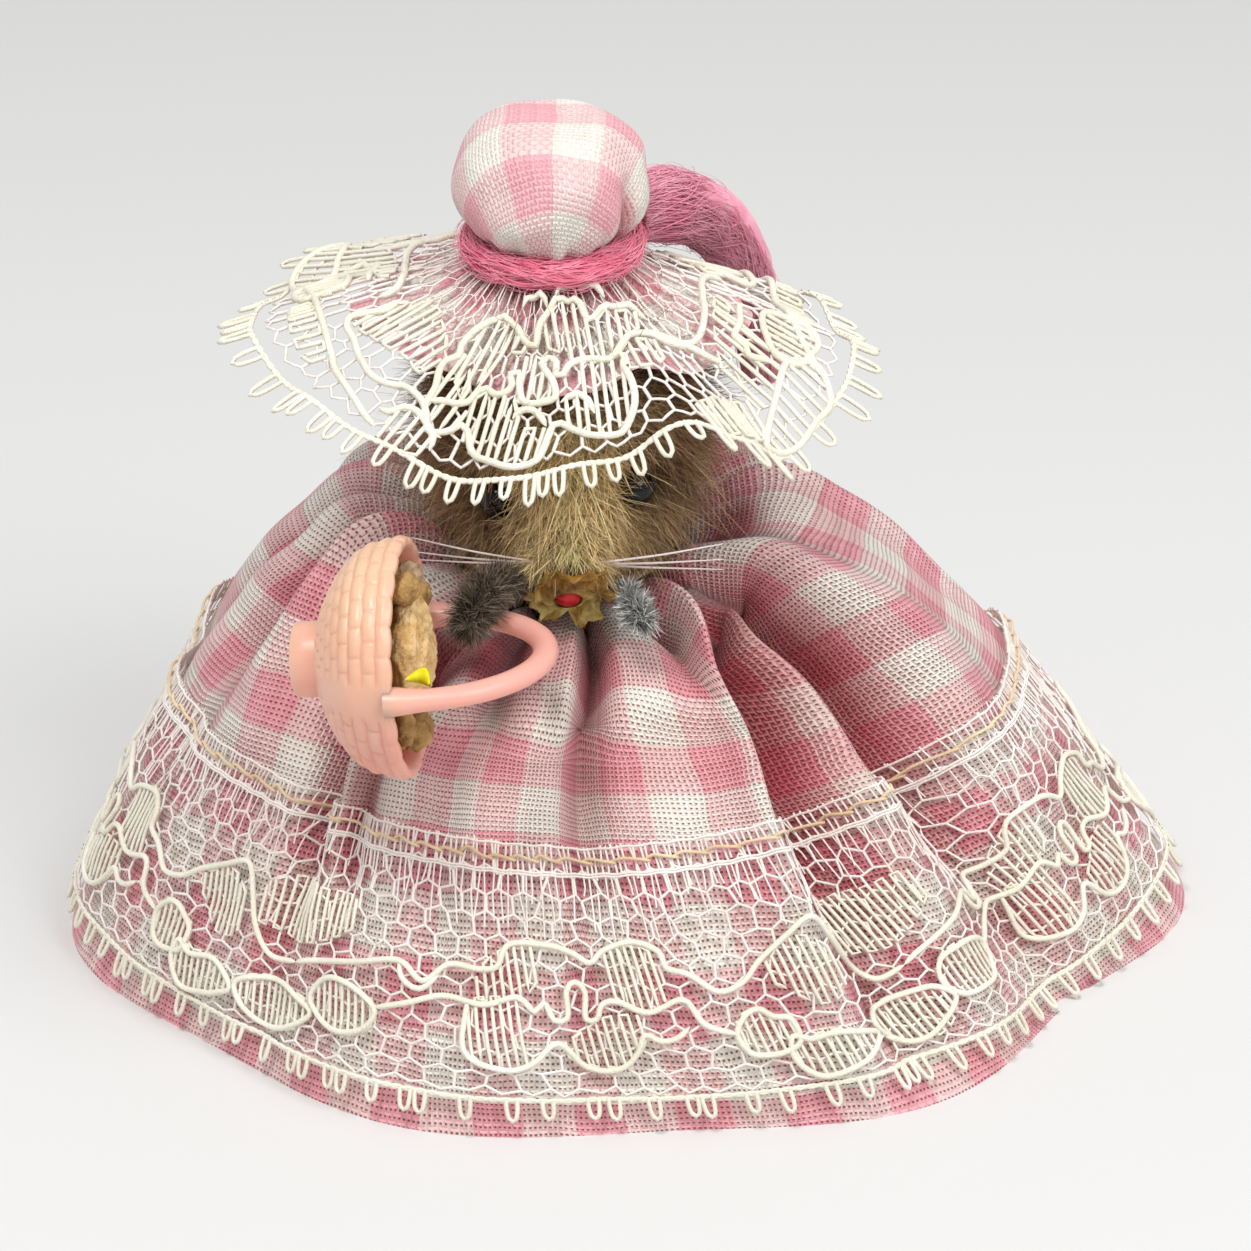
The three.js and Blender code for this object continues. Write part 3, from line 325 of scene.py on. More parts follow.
def check_cloth(name, checks, widths, low, high, stains):
    """Plain weave whose warp and weft change colour every check. Widths are shares of the pitch."""
    s = Shade(name, 0.85, **{"Sheen Weight": 0.12, "Sheen Roughness": 0.5})
    spot = s.node("UVMap", {}, uv_map="cloth")
    drift = s.node("TexNoise", {"Vector": spot, "Scale": 0.11, "Detail": 2.0}, "Color")
    shifted = s.node("VectorMath", {0: drift, 1: (0.5, 0.5, 0.5)}, operation="SUBTRACT")
    shifted = s.node("VectorMath", {0: shifted, "Scale": 1.6}, operation="SCALE")
    spot = s.node("VectorMath", {0: spot, 1: shifted}, operation="ADD")
    threads = []
    for axis, pitch, seed in ((0, WARP_PITCH, 3.1), (1, WEFT_PITCH, 8.7)):
        wide, check = widths[axis], checks[axis]
        at = s.node("SeparateXYZ", {0: spot}, axis)
        place = s.math("DIVIDE", at, pitch)
        index = s.math("FLOOR", place)
        off = s.math("ABSOLUTE", s.math("SUBTRACT", s.math("FRACT", place), 0.5))
        slub = s.node("TexWhiteNoise", {"W": s.math("ADD", index, seed)}, noise_dimensions="1D")
        half = s.ramp(slub, 0, 1, wide * 0.44, wide * 0.56)
        cover = s.ramp(s.math("SUBTRACT", off, half), 0.045, -0.045)
        round_top = s.ramp(off, 0, 0.42, 1, 0)
        stripe = s.math("GREATER_THAN", s.math("FRACT", s.math("DIVIDE", at, 2 * check)), 0.5)
        pink = s.mix(slub, low, high)
        cream = s.mix(slub, "#ede5d9", "#f5f0e7")
        threads.append((index, cover, round_top, s.mix(stripe, pink, cream)))
    (i, warp, warp_top, warp_colour), (j, weft, weft_top, weft_colour) = threads
    over = s.math("MODULO", s.math("ABSOLUTE", s.math("ADD", i, j)), 2.0)
    warp_shows = s.math("MULTIPLY", warp, s.math("MAXIMUM", over, s.math("SUBTRACT", 1.0, weft)))
    both = s.mix(0.5, weft_colour, warp_colour)
    # From a little way off the crossing threads blend
    colour = s.mix(0.68, s.mix(warp_shows, weft_colour, warp_colour), both)
    # Painted shade: where the weave is open, the shade behind the cloth shows, so the holes are darkened
    hole = s.math("MULTIPLY", s.math("SUBTRACT", 1.0, warp), s.math("SUBTRACT", 1.0, weft))
    colour = s.mix(hole, colour, s.times(both, (0.26, 0.13, 0.13, 1)))
    stain = s.ramp(s.noise(9, 4), 0.5, 0.8, 0, stains)
    colour = s.times(colour, s.mix(stain, "#ffffff", "#f0a09c"))
    # Painted shade from the tint: deep in the folds the light that gets there has been through the pink cloth
    colour = s.times(colour, s.node("Attribute", {}, "Color", attribute_name="tint"))
    warp_high = s.math("MULTIPLY", warp_top, s.math("MULTIPLY_ADD", over, 0.4, 0.6))
    weft_high = s.math("MULTIPLY", weft_top, s.math("MULTIPLY_ADD", over, -0.4, 1.0))
    creases = s.bump(s.noise(3.5, 3), 0.25)
    s.set(**{"Base Color": colour, "Normal": s.bump(s.math("MAXIMUM", warp_high, weft_high), 0.16, creases)})
    return s.material


def lace_thread(name, low, high):
    """Twisted cotton in two shades."""
    s = Shade(name, 0.75, **{"Sheen Weight": 0.3})
    fibre = s.noise(0.22, 4)
    s.set(**{"Base Color": s.mix(s.ramp(s.noise(5), 0.35, 0.65), low, high), "Normal": s.bump(fibre, 0.12)})
    return s.material


def fur(name):
    """Hair whose colour is its own mesh's tint, painted shade and light included."""
    s = Shade(name, 0.6, **{"Specular IOR Level": 0.35})
    s.set(**{"Base Color": s.node("Attribute", {}, "Color", attribute_name="tint")})
    return s.material


def mottled(name, low, high, size, rough=0.85, grain=0.2, deep=0.1, **sockets):
    """A rough natural stuff with two mixed colours and a grain."""
    s = Shade(name, rough, **sockets)
    blend = s.ramp(s.noise(size, 5), 0.32, 0.68)
    s.set(**{"Base Color": s.mix(blend, low, high), "Normal": s.bump(s.noise(grain, 5), deep)})
    return s.material


def plastic():
    """Translucent, with painted light: more cream in it higher up, where the light comes through from above.
    """
    s = Shade("pink_plastic", 0.36, **{"Subsurface Weight": 0.5, "Subsurface Scale": 0.004})
    s.surface.inputs["Subsurface Radius"].default_value = (1.0, 0.42, 0.28)
    height = s.node("SeparateXYZ", {0: s.where()}, 2)
    # Painted light: the moulding turns cream towards its top
    cream = s.ramp(s.math("ADD", height, s.math("MULTIPLY", s.noise(5, 3), 0.006)), 0.036, 0.052)
    low = s.mix(s.ramp(s.noise(6, 3), 0.35, 0.65), "#e59a86", "#eeb09f")
    pink = s.ramp(s.node("SeparateXYZ", {0: s.where()}, 0), -0.0175, -0.0125)
    body = s.mix(cream, low, "#eebd9b")
    s.set(**{"Base Color": s.mix(pink, body, "#eba99c"), "Normal": s.bump(s.noise(1.6, 3), 0.06)})
    s.set(**{"Coat Weight": 0.1, "Coat Roughness": 0.3})
    return s.material


def hide():
    """Cut skin, brown above the nose and straw yellow below it."""
    s = Shade("cut_hide", 0.5, **{"Subsurface Weight": 0.15})
    height = s.node("SeparateXYZ", {0: s.where()}, 2)
    dry = s.ramp(s.math("ADD", height, s.math("MULTIPLY", s.noise(1.6, 4), 0.004)), 0.0392, 0.0418)
    blotch = s.ramp(s.noise(1.1, 5), 0.36, 0.64)
    straw = s.mix(blotch, "#946a17", "#d3c26e")
    brown = s.mix(blotch, "#5e370e", "#a87422")
    s.set(**{"Base Color": s.mix(dry, straw, brown), "Normal": s.bump(s.noise(0.5, 5), 0.35)})
    return s.material


OPEN_CHECK = check_cloth("check_cloth_open", (4.3, 4.9), (0.53, 0.68), "#e5939d", "#f3b0b8", 0.28)
CLOSE_CHECK = check_cloth("check_cloth_close", (4.1, 4.75), (0.86, 0.92), "#eea3ad", "#f5bac1", 0.1)
LACE_CORD = lace_thread("lace_cord", "#e8e3ce", "#f3efe0")
LACE_NET = lace_thread("lace_net", "#efe5dd", "#f8f2ec")
STITCH = lace_thread("stitch_thread", "#d9b98c", "#efd9b4")
WOOL = mottled("pink_wool", "#f0688c", "#ff9fb6", 1.6, 0.8, 0.12, 0.05, **{"Sheen Weight": 0.5})
TAIL_WOOL = mottled("pink_wool_loose", "#ee8ba6", "#fbb4c6", 2.2, 0.85, 0.15, 0.06, **{"Sheen Weight": 0.3})
HAIR = fur("fur_hair")
SKIN = mottled("fur_skin", "#4a3727", "#8c6a42", 2.2, 0.9, 0.3, 0.3)
CHENILLE = mottled("chenille_core", "#1f1e1e", "#3c3a39", 0.8, 0.95, 0.3, 0.3)
GLASS_GLOSS = {"Specular IOR Level": 0.35}
BLACK_GLASS = mottled("black_glass", "#040404", "#080808", 1.5, 0.12, 1.0, 0.0, **GLASS_GLOSS)
RED_GLASS = mottled("red_glass", "#9c0a12", "#c0161e", 0.8, 0.25, 0.6, 0.03, **GLASS_GLOSS)
HIDE = hide()
NYLON = mottled("nylon", "#d9cbc6", "#eee0dc", 3, 0.35, 1.0, 0.01)
STUFFING = mottled("stuffing", "#e9e4da", "#f7f4ee", 1.5, 0.95, 0.3, 0.3)
WIRE = mottled("steel_wire", "#77777c", "#a4a4a8", 1.0, 0.35, 0.3, 0.03, **{"Metallic": 1.0})
FELT = mottled("felt", "#6f665f", "#8e847c", 0.9, 0.95, 0.25, 0.25)
CORK = mottled("dry_sponge", "#cd9d5c", "#efd09a", 1.3, 0.9, 0.45, 0.45)
LEAF = mottled("dry_leaf", "#8c6836", "#c39c60", 1.2, 0.85, 0.4, 0.3)
CRUMB = mottled("dry_crumb", "#94795a", "#c0a684", 0.9, 0.9, 0.4, 0.4)
YELLOW = mottled("yellow_petal", "#d8cf06", "#f2ea1c", 1.0, 0.6, 0.4, 0.1)
PLASTIC = plastic()

# The camera, at the photograph's angle, and the free end of the yarn, the only cord

CAMERA_RISE, CAMERA_DISTANCE = math.radians(26), 0.35
camera = bpy.data.objects.new("camera", bpy.data.cameras.new("camera"))
bpy.context.scene.collection.objects.link(camera)
bpy.context.scene.camera = camera
camera.data.lens = 114.8
camera.data.clip_start = 0.01
aim = Vector((0.002, 0, 0.0244))
camera.location = aim + CAMERA_DISTANCE * Vector((0, -math.cos(CAMERA_RISE), math.sin(CAMERA_RISE)))
camera.rotation_euler = (math.pi / 2 - CAMERA_RISE, 0, 0)

knot_way = np.array([math.cos(KNOT_ANGLE), math.sin(KNOT_ANGLE), 0])
knot_reach = YARN_RADIUS + YARN_HALF_WIDTH + CLEARANCE + KNOT_RADIUS * 0.8
knot_at = TIE + knot_way * knot_reach + [0, 0, KNOT_RISE]
tail_start = knot_at + knot_way * (KNOT_RADIUS * 0.8 + 0.45)
tail_path = flow(tail_start + TAIL_DROP, 1.3)
tail_core_size = smooth([[0, 1.1], [0.1, 1.5], [0.3, 1.5], [0.6, 1.5], [0.9, 1.45], [1, 0.9]])


def strands(path, radius, count, thick, seed, loose):
    """Loose fibres that keep to a path inside a radius that follows it."""
    rng = np.random.default_rng(seed)
    share = np.linspace(0, 1, len(path))
    ahead = unit(np.gradient(path, axis=0))
    side = unit(np.cross(ahead, [0.13, 0.2, 1]))
    up = np.cross(side, ahead)
    bundle = Bundle()
    for _ in range(count):
        sway = np.sin(share * rng.uniform(4, 12) + rng.uniform(0, TAU))
        where = rng.uniform(0, TAU) + rng.normal() * 1.2 * share + 0.5 * sway
        puff = np.sin(share * rng.uniform(8, 25) + rng.uniform(0, TAU))
        reach = radius * np.clip(rng.uniform(0.35, 1) ** 0.5 + loose * puff, 0, 1.35)
        line = path + (reach * np.cos(where))[:, None] * side + (reach * np.sin(where))[:, None] * up
        bundle.tube(line, thick * rng.uniform(0.6, 1.2), sides=3)
    return bundle


bundle = Bundle()
bundle.tube(tail_path, tail_core_size(np.linspace(0, 1, len(tail_path))), sides=14)
yarn_tail = bundle.make("yarn_tail_core", TAIL_WOOL, "wool", stands_for=["yarn_tail"])
tail_fibre_path = flow(tail_path - knot_way * np.linspace(3.6, 0, len(tail_path))[:, None], 1.0)
tail_size = smooth([[0, 2.5], [0.12, 3.1], [0.3, 2.7], [0.6, 2.3], [0.85, 2.1], [1, 1.5]])
tail_sizes = tail_size(np.linspace(0, 1, len(tail_fibre_path)))
bundle = strands(tail_fibre_path, tail_sizes, 1080, 0.04, 5, 0.09)
tail_fibres = bundle.make("yarn_tail_fibres", TAIL_WOOL, "wool")
bundle = strands(tail_fibre_path, tail_sizes * 1.08, 110, 0.022, 6, 0.2)
tail_wisps = bundle.make("yarn_tail_wisps", TAIL_WOOL, "wool")

# The skirt: one gathered sheet, whose folds start at the neck and die out towards the hem

half_width = smooth([
    [0, NECK_RADIUS], [0.08, NECK_RADIUS + 3.4], [0.18, NECK_RADIUS + 8.6], [0.3, NECK_RADIUS + 13.2],
    [0.42, HEM_HALF_WIDTH - 20.2], [0.55, HEM_HALF_WIDTH - 15.3], [0.7, HEM_HALF_WIDTH - 9.8],
    [0.85, HEM_HALF_WIDTH - 4.5], [1, HEM_HALF_WIDTH],
])
half_depth = smooth([
    [0, NECK_RADIUS], [0.08, NECK_RADIUS + 3.1], [0.18, NECK_RADIUS + 7.8], [0.3, NECK_RADIUS + 13.4],
    [0.42, HEM_HALF_DEPTH - 17.2], [0.55, HEM_HALF_DEPTH - 12], [0.7, HEM_HALF_DEPTH - 6.8],
    [0.85, HEM_HALF_DEPTH - 2.8], [1, HEM_HALF_DEPTH],
])
skirt_height = smooth([
    [0, NECK_HEIGHT], [0.08, SHOULDER_HEIGHT - 1.2], [0.18, SHOULDER_HEIGHT], [0.3, SHOULDER_HEIGHT - 3.2],
    [0.42, 31.8], [0.55, 25.5], [0.7, 16.9], [0.85, 8.2], [1, 0],
])
front_fall = smooth([
    [0, -3], [0.08, -5.4], [0.18, -7.4], [0.3, -7], [0.42, -5.3], [0.55, -4.7], [0.7, -3.1], [0.85, -1.6],
    [1, 0],
])
BACK_RISE = 1.6
shift_x = smooth([[0, -3.2], [0.18, -3], [0.42, -2.3], [0.7, -0.1], [1, 2.2]])
shift_y = smooth([[0, -7.8], [0.18, -7], [0.42, -5.2], [0.7, -2.8], [1, -1]])
wave_depth = smooth([[0, 0], [0.3, 0.3], [0.7, 0.9], [1, 1.2]])


def skirt_base(angle, share):
    """Points of the skirt without its folds, at an angle and a share of the way from the neck to the hem."""
    front = np.maximum(0, -np.sin(angle)) ** 2
    back = np.maximum(0, np.sin(angle)) ** 2 * (1 - share) ** 2
    x = shift_x(share) + half_width(share) * np.cos(angle)
    y = shift_y(share) + half_depth(share) * np.sin(angle)
    return np.stack([x, y, skirt_height(share) + front_fall(share) * front + BACK_RISE * back], -1)


def outward(base, angle, share):
    """The directions that face out of a surface."""
    step = 1e-3
    along = base(angle, np.minimum(share + step, 1)) - base(angle, np.maximum(share - step, 0))
    around = base(angle + step, share) - base(angle - step, share)
    return -unit(np.cross(around, along))


# Each fold: its angle from the front in degrees, its depth and its width in millimetres, at six places down
# the skirt, and how much wider it is on its right than on its left
FOLD_PLACES = [0.04, 0.15, 0.3, 0.45, 0.6, 0.78]
FOLDS = [
    ([-103, -100, -97, -96, -96, -96], [1.0, 2.2, 2.4, 1.6, 0.7, 0.1], [0.8, 1.5, 2.2, 3.0, 3.6, 4.0], 0.2),
    ([-86, -77, -71.5, -70, -69, -68], [1.4, 3.2, 3.2, 2.0, 0.8, 0.1], [0.8, 1.7, 2.2, 2.8, 3.6, 4.0], -0.3),
    ([-62, -60, -52, -43.5, -40.5, -39], [1.2, 2.4, 3.2, 3.4, 2.4, 0.6], [0.7, 1.0, 1.3, 1.5, 1.7, 2.6], 0.3),
    ([-28, -30, -33, -34.5, -33.8, -33], [1.2, 3.2, 2.7, 1.9, 1.3, 0.2], [0.8, 1.5, 1.5, 1.3, 1.5, 2.4], 0.3),
    ([-12, -14, -16, -18, -18, -18], [0.8, 1.5, 1.3, 0.8, 0.3, 0.0], [0.8, 1.2, 1.8, 3.0, 4.0, 4.0], 0.0),
    ([9.5, 7, 3.6, 0.8, -1, -2], [1.7, 3.0, 2.9, 2.2, 1.3, 0.4], [0.6, 0.9, 1.3, 1.7, 2.1, 2.6], 0.3),
    ([28, 29, 28.5, 28, 27, 27], [1.2, 2.8, 0.9, 0.1, 0.0, 0.0], [0.6, 1.2, 1.5, 2.0, 2.0, 2.0], 0.0),
    ([46.5, 42.5, 37, 33.5, 31.2, 30], [1.7, 4.0, 5.8, 6.2, 4.8, 2.2], [0.8, 1.3, 2.1, 2.7, 3.3, 3.6], 0.5),
    ([55, 55, 57, 58, 57, 56], [1.4, 3.6, 5.8, 6.2, 4.2, 1.5], [0.8, 1.5, 2.2, 2.8, 3.3, 3.8], -0.4),
    ([74, 72, 71, 73, 76, 78], [1.0, 1.2, 0.3, 0.0, 0.0, 0.0], [2.0, 2.6, 2.4, 2.4, 3.0, 3.0], 0.2),
    ([108, 106, 106, 107, 107, 106], [1.3, 2.6, 3.4, 2.7, 1.5, 0.4], [0.8, 1.3, 1.8, 2.4, 3.0, 3.4], 0.3),
]
# The back's folds keep to their angles
BACK_FOLDS = [
    (122, 2.1, 0.3), (137, 1.6, -0.2), (153, 2.5, 0.35), (171, 1.8, 0), (188, 2.4, 0.3), (205, 1.7, -0.3),
    (222, 2.3, 0.2), (240, 1.9, 0.3),
]
for turn, deep, skew in BACK_FOLDS:
    depths = [0.9, deep, deep + 0.6, 0.8 * deep, 0.5 * deep, 0.1]
    FOLDS.append(([turn] * 6, depths, [0.7, 1.2, 1.8, 2.5, 3.2, 3.8], skew))
# Narrow ridges between them, in the same way but standing out
RIDGES = [
    ([42, 38, 31, 27.5, 25.5, 25], [0.3, 1.0, 1.8, 1.9, 1.4, 0.3], [0.6, 0.8, 1.0, 1.2, 1.6, 2.6], -0.3),
    ([50, 48.5, 47.5, 46.5, 45, 44], [0.3, 1.0, 1.6, 1.5, 1.0, 0.3], [0.6, 1.0, 1.5, 2.0, 2.4, 3.0], 0.0),
    ([66, 64.5, 66, 68.5, 67, 65], [0.0, 0.0, 1.5, 2.3, 1.4, 0.3], [1.0, 1.3, 2.4, 3.6, 4.5, 4.5], 0.3),
    ([98, 97, 97, 98, 99, 99], [0.2, 0.7, 1.1, 1.1, 0.8, 0.2], [0.8, 1.2, 1.6, 2.0, 2.6, 3.0], 0.0),
    ([-46, -46, -42.5, -38.8, -36.8, -36], [0.3, 0.6, 1.0, 1.2, 1.0, 0.3],
     [0.6, 0.8, 1.0, 1.1, 1.3, 2.2], 0.0),
    ([-70, -68, -64.5, -60, -56, -54], [0.3, 1.2, 1.4, 0.9, 0.3, 0.0], [0.7, 1.0, 1.4, 2.4, 3.2, 4.0], 0.0),
    ([6, 4, 0, -3.5, -5, -6], [0.3, 0.7, 0.9, 0.8, 0.4, 0.0], [0.6, 0.9, 1.3, 1.8, 2.4, 3.0], 0.0),
]


def down_skirt(folds):
    """Each fold with smooth curves of its angle, depth and width down the skirt."""
    return [(*[smooth(list(zip(FOLD_PLACES, row))) for row in fold[:3]], fold[3]) for fold in folds]


fold_lines = down_skirt(FOLDS)
ridge_lines = down_skirt(RIDGES)
HEM_WAVES = 7
VALLEY = FRONT + math.radians(5)


def apart(angle, other):
    """The turn between two angles, from -pi to pi."""
    return np.arctan2(np.sin(angle - other), np.cos(angle - other))


def fold_depth(lines, angle, share):
    """How deep the folds, or how high the ridges, of one list are together."""
    place = np.clip(share, FOLD_PLACES[0], FOLD_PLACES[-1])
    reach = (half_width(share) + half_depth(share)) / 2
    total = np.zeros(np.broadcast_shapes(np.shape(angle), np.shape(share)))
    for turn, depth, width, skew in lines:
        off = reach * apart(angle, FRONT + np.radians(turn(place)))
        half = width(place) * (1 + skew * np.sign(off))
        total += depth(place) * np.exp(-np.abs(off / half) ** 1.7)
    return total * np.clip((1 - share) / 0.15, 0, 1)


def skirt_fold(angle, share):
    """How far the cloth stands out of its base, with the dent behind the basket and the tuck on the right."""
    total = HEM_SWELL - wave_depth(share) * np.cos(HEM_WAVES * (angle - VALLEY))
    total -= 1.7 * fold_depth(fold_lines, angle, share)
    total += 1.35 * fold_depth(ridge_lines, angle, share)
    dent = apart(angle, FRONT - 0.75) / 0.42
    total -= DENT_DEPTH * np.exp(-dent**2 - ((share - 0.36) / 0.2) ** 2)
    tuck = apart(angle, FRONT + 0.98) / 0.36
    return total - TUCK_DEPTH * np.maximum(0, share - 0.3) * np.exp(-tuck**2)


def skirt_surface(angle, level, lift=0.0):
    """Points of the skirt, lifted out of it. Below the waist a level runs along the lace's upper edge."""
    angle, level = np.broadcast_arrays(np.asarray(angle, float), np.asarray(level, float))
    front = np.maximum(0, -np.sin(angle)) ** 2
    band = np.minimum((level - 0.4) / (LACE_TOP - 0.4), (LACE_FOOT - level) / (LACE_FOOT - LACE_TOP))
    share = level - LACE_RISE * front * np.clip(band, 0, 1)
    out = outward(skirt_base, angle, share)
    out[..., 2] *= np.minimum(1, (1 - share) / 0.03)
    out = unit(out)
    flat = skirt_base(angle, share)
    swell = skirt_fold(angle, share) + 0.22 * ripple(flat, 7, 11) * np.clip((1 - share) / 0.1, 0, 1)
    return flat + out * (swell + lift)[..., None], out


# Painted shade: what the check cloth's colour is multiplied by where it lies deepest in shade
FOLD_SHADE_TINT = np.array([0.6, 0.24, 0.27])


def painted_shade_tint(share):
    """The painted shade that cloth takes on in a fold or other shaded place, from none of it to all."""
    return 1 - share[..., None] * (1 - FOLD_SHADE_TINT)


# A panel of columns from each fold to the next, closest together in the folds
PANEL = 38
rows = np.concatenate([np.linspace(0, 0.62, 92), np.linspace(0.63, 1, 40)])
places = np.clip(rows, FOLD_PLACES[0], FOLD_PLACES[-1])
turns = np.stack([lines[0](places) for lines in fold_lines], 1)
turns = np.hstack([turns, turns[:, :1] + 360])
step = np.arange(PANEL) / PANEL
step = step - 0.72 * np.sin(TAU * step) / TAU
angles = turns[:, :-1, None] + (turns[:, 1:, None] - turns[:, :-1, None]) * step
angles = FRONT + np.radians(angles.reshape(len(rows), -1))
levels = np.broadcast_to(rows[:, None], angles.shape)
cloth_points = skirt_surface(angles, levels, CLOTH / 2)[0]
span = np.linalg.norm(np.diff(np.concatenate([cloth_points, cloth_points[:, :1]], 1), axis=1), axis=-1)
# The cloth keeps its size on each lobe, and what the gathers take in goes into the bottoms of the folds
span = np.roll(span, -PANEL // 2, 1).reshape(len(rows), len(FOLDS), PANEL)
spare = span[-1:].sum(2) - span.sum(2)
spread = 3 + 15 * np.clip((rows - 0.06) / 0.3, 0, 1)[:, None] ** 1.5
hidden = np.exp(-(((np.arange(PANEL) + 0.5 - PANEL / 2) / spread) ** 2))
hidden = 0.65 * hidden / hidden.sum(1, keepdims=True) + 0.35 / PANEL
span = span + np.where(spare > 0, spare, 0)[..., None] * hidden[:, None]
span = span * (span[-1:].sum(2) / span.sum(2))[..., None]
u = np.concatenate([np.zeros((len(rows), 1)), np.cumsum(span.reshape(len(rows), -1), 1)], 1)
u = np.roll(u[:, :-1], PANEL // 2, 1)
hem_round = float(span[-1].sum())
u = np.concatenate([u, u[:, :1]], 1)
u[:, : PANEL // 2] -= hem_round
fall = np.linalg.norm(np.diff(skirt_base(angles, levels), axis=0), axis=-1)
v = np.concatenate([np.zeros((1, angles.shape[1])), np.cumsum(fall, 0)])
v = v[-1:] - v
v = np.concatenate([v, v[:, :1]], 1)
# Painted shade: darker with the depth of the folds, and a little darker near the neck under the head
painted_shade_share = np.clip(fold_depth(fold_lines, angles, levels) / 3.4, 0, 1) ** 1.2
painted_shade_share += 0.2 * np.clip(1 - levels / 0.15, 0, 1)
# Painted shade on the cloth under the basket's handle and in the pit by the right cheek, which lie in deep
# shade: each place's turn and half width in degrees, and its share of the way down and half height
SHADES = [(-17, 14, 0.18, 0.1), (78, 9, 0.11, 0.045)]
turned = np.degrees(angles - FRONT)
shade = np.zeros(angles.shape)
for turn, wide, share, tall in SHADES:
    shade += np.exp(-((turned - turn) / wide) ** 2 - ((levels - share) / tall) ** 2)
painted_shade_share = np.clip(painted_shade_share + shade, 0, 1)
CHECK_SHIFT = (5.45, 2.35)
skirt_cloth = piece(
    "skirt_cloth", cloth_points, grid_faces(*angles.shape), OPEN_CHECK, "check_cloth", stands_for=["skirt"],
    uv=grid_uv(u + CHECK_SHIFT[0], v + CHECK_SHIFT[1]),
    tint=painted_shade_tint(painted_shade_share) * (1 - 0.45 * shade)[..., None],
)

# Lace, drawn flat: X along it from the middle of a flower, Y down from its straight edge, and 58 to a repeat
REPEAT, LACE_DEEP = 58.0, 25.0
SKIRT_LINES = [
    [(-29, 16), (-27, 15.1), (-22.2, 13.6), (-17.7, 12.3), (-15.4, 13.8), (-13.2, 11.9), (-10.5, 12),
     (-8.8, 11.6), (-8.2, 10), (-7.1, 9.2), (-3.9, 9.3), (-2, 10), (-0.4, 11), (1, 9.8), (3.9, 9),
     (6.2, 10), (6.6, 11.6), (8.5, 12.4), (10.6, 14.2), (13, 13.6), (14.8, 12), (17.7, 10.2), (20.6, 8.8),
     (22.2, 11.4), (23.8, 14.2), (26, 16.5), (29, 16)],
    [(-19.6, 17.4), (-16.7, 16.2), (-13.5, 14.9), (-10, 15.3), (-7.1, 14.3), (-5.6, 15.6), (-4.8, 14.7),
     (-4, 16.4), (-2.9, 16.2), (-2.8, 13.6), (-2, 12.8), (-1.2, 13.8), (-1.4, 16.4), (-0.4, 16.4),
     (0.2, 15), (1.6, 14.7), (4.2, 15.8), (7.4, 14.7), (8.7, 17.2), (11.2, 18.5)],
    [(-11.4, 15), (-11.4, 20), (-8.3, 21.6), (-6, 20.8), (-3.9, 18.7), (-1.9, 21.3), (0, 21.9),
     (1.6, 21.2), (2.8, 19.6), (3.5, 18), (4.8, 18.7), (6.2, 18.4), (7.4, 17.3)],
    [(-17.7, 12.3), (-17.2, 13.9), (-15.6, 14.6), (-14, 13)],
]
SKIRT_LEAVES = [
    [(-34.5, 20.3), (-32.1, 18.7), (-29.5, 18.6), (-27.3, 19.2), (-26.3, 20.6), (-28.9, 23.2),
     (-31.5, 23.6), (-33.6, 22.6)],
    [(-26.7, 18.9), (-25.4, 16.6), (-23.4, 15.8), (-21, 16.2), (-19.6, 17.2), (-20.6, 20), (-22.8, 20.9),
     (-25, 20.4)],
    [(11.2, 18.5), (12.2, 16.8), (13.5, 16.3), (15, 17.2), (16.1, 17.9), (15.8, 19.8), (14.8, 20.9),
     (13.2, 21.2), (11.9, 20.6)],
    [(15.4, 19.6), (17, 19.8), (19.6, 19.5), (22.5, 21.2), (21.4, 22.6), (19.6, 23.4), (16.9, 24),
     (15.2, 22)],
]
SKIRT_PATCHES = [
    [(-34.7, 13.2), (-33.7, 9.4), (-30.5, 8.1), (-27.6, 8.2), (-23.8, 8), (-23.4, 10.3), (-26.4, 12.6),
     (-29.5, 14), (-32, 13.8)],
    [(15.2, 13), (16.7, 11.4), (19.3, 10.2), (21.6, 12.4), (22, 14.4), (19.3, 16.9), (16.7, 15)],
    [(-10.8, 14.8), (-10.2, 12.4), (-8, 10), (-5.4, 9.4), (-5.6, 12), (-6.9, 14.2)],
    [(-11.2, 15.4), (-7, 14.6), (-6.2, 18.2), (-6.4, 20.8), (-9, 21.4), (-11, 20)],
    [(1, 10), (3.9, 9.4), (6, 10.4), (6.2, 12), (4.8, 15.4), (1.6, 14.5)],
    [(-3.6, 19.2), (-1.2, 17.6), (1, 16.2), (4, 16.2), (3.2, 18.4), (1.2, 21.2), (-1.6, 21.2)],
]


def bars(outline, spacing=0.8, slant=0.12, way=(0, 1)):
    """One thread that runs to and fro inside an outline, as a ladder of bars along a way, with round ends."""
    turned = np.array([[way[1], -way[0]], way]) / math.hypot(*way)
    edge = flow(outline, 0.3, closed=True) @ turned.T
    line, up = [], False
    for x in np.arange(edge[:, 0].min() + 0.4, edge[:, 0].max() - 0.2, spacing):
        near = edge[np.abs(edge[:, 0] - x) < 0.35, 1]
        low, high = near.min(), near.max()
        if high - low < 0.6:
            continue
        ys = np.linspace(high, low, 6) if up else np.linspace(low, high, 6)
        line += [(x + slant * (y - (low + high) / 2), y) for y in ys]
        up = not up
    return np.array(line) @ turned


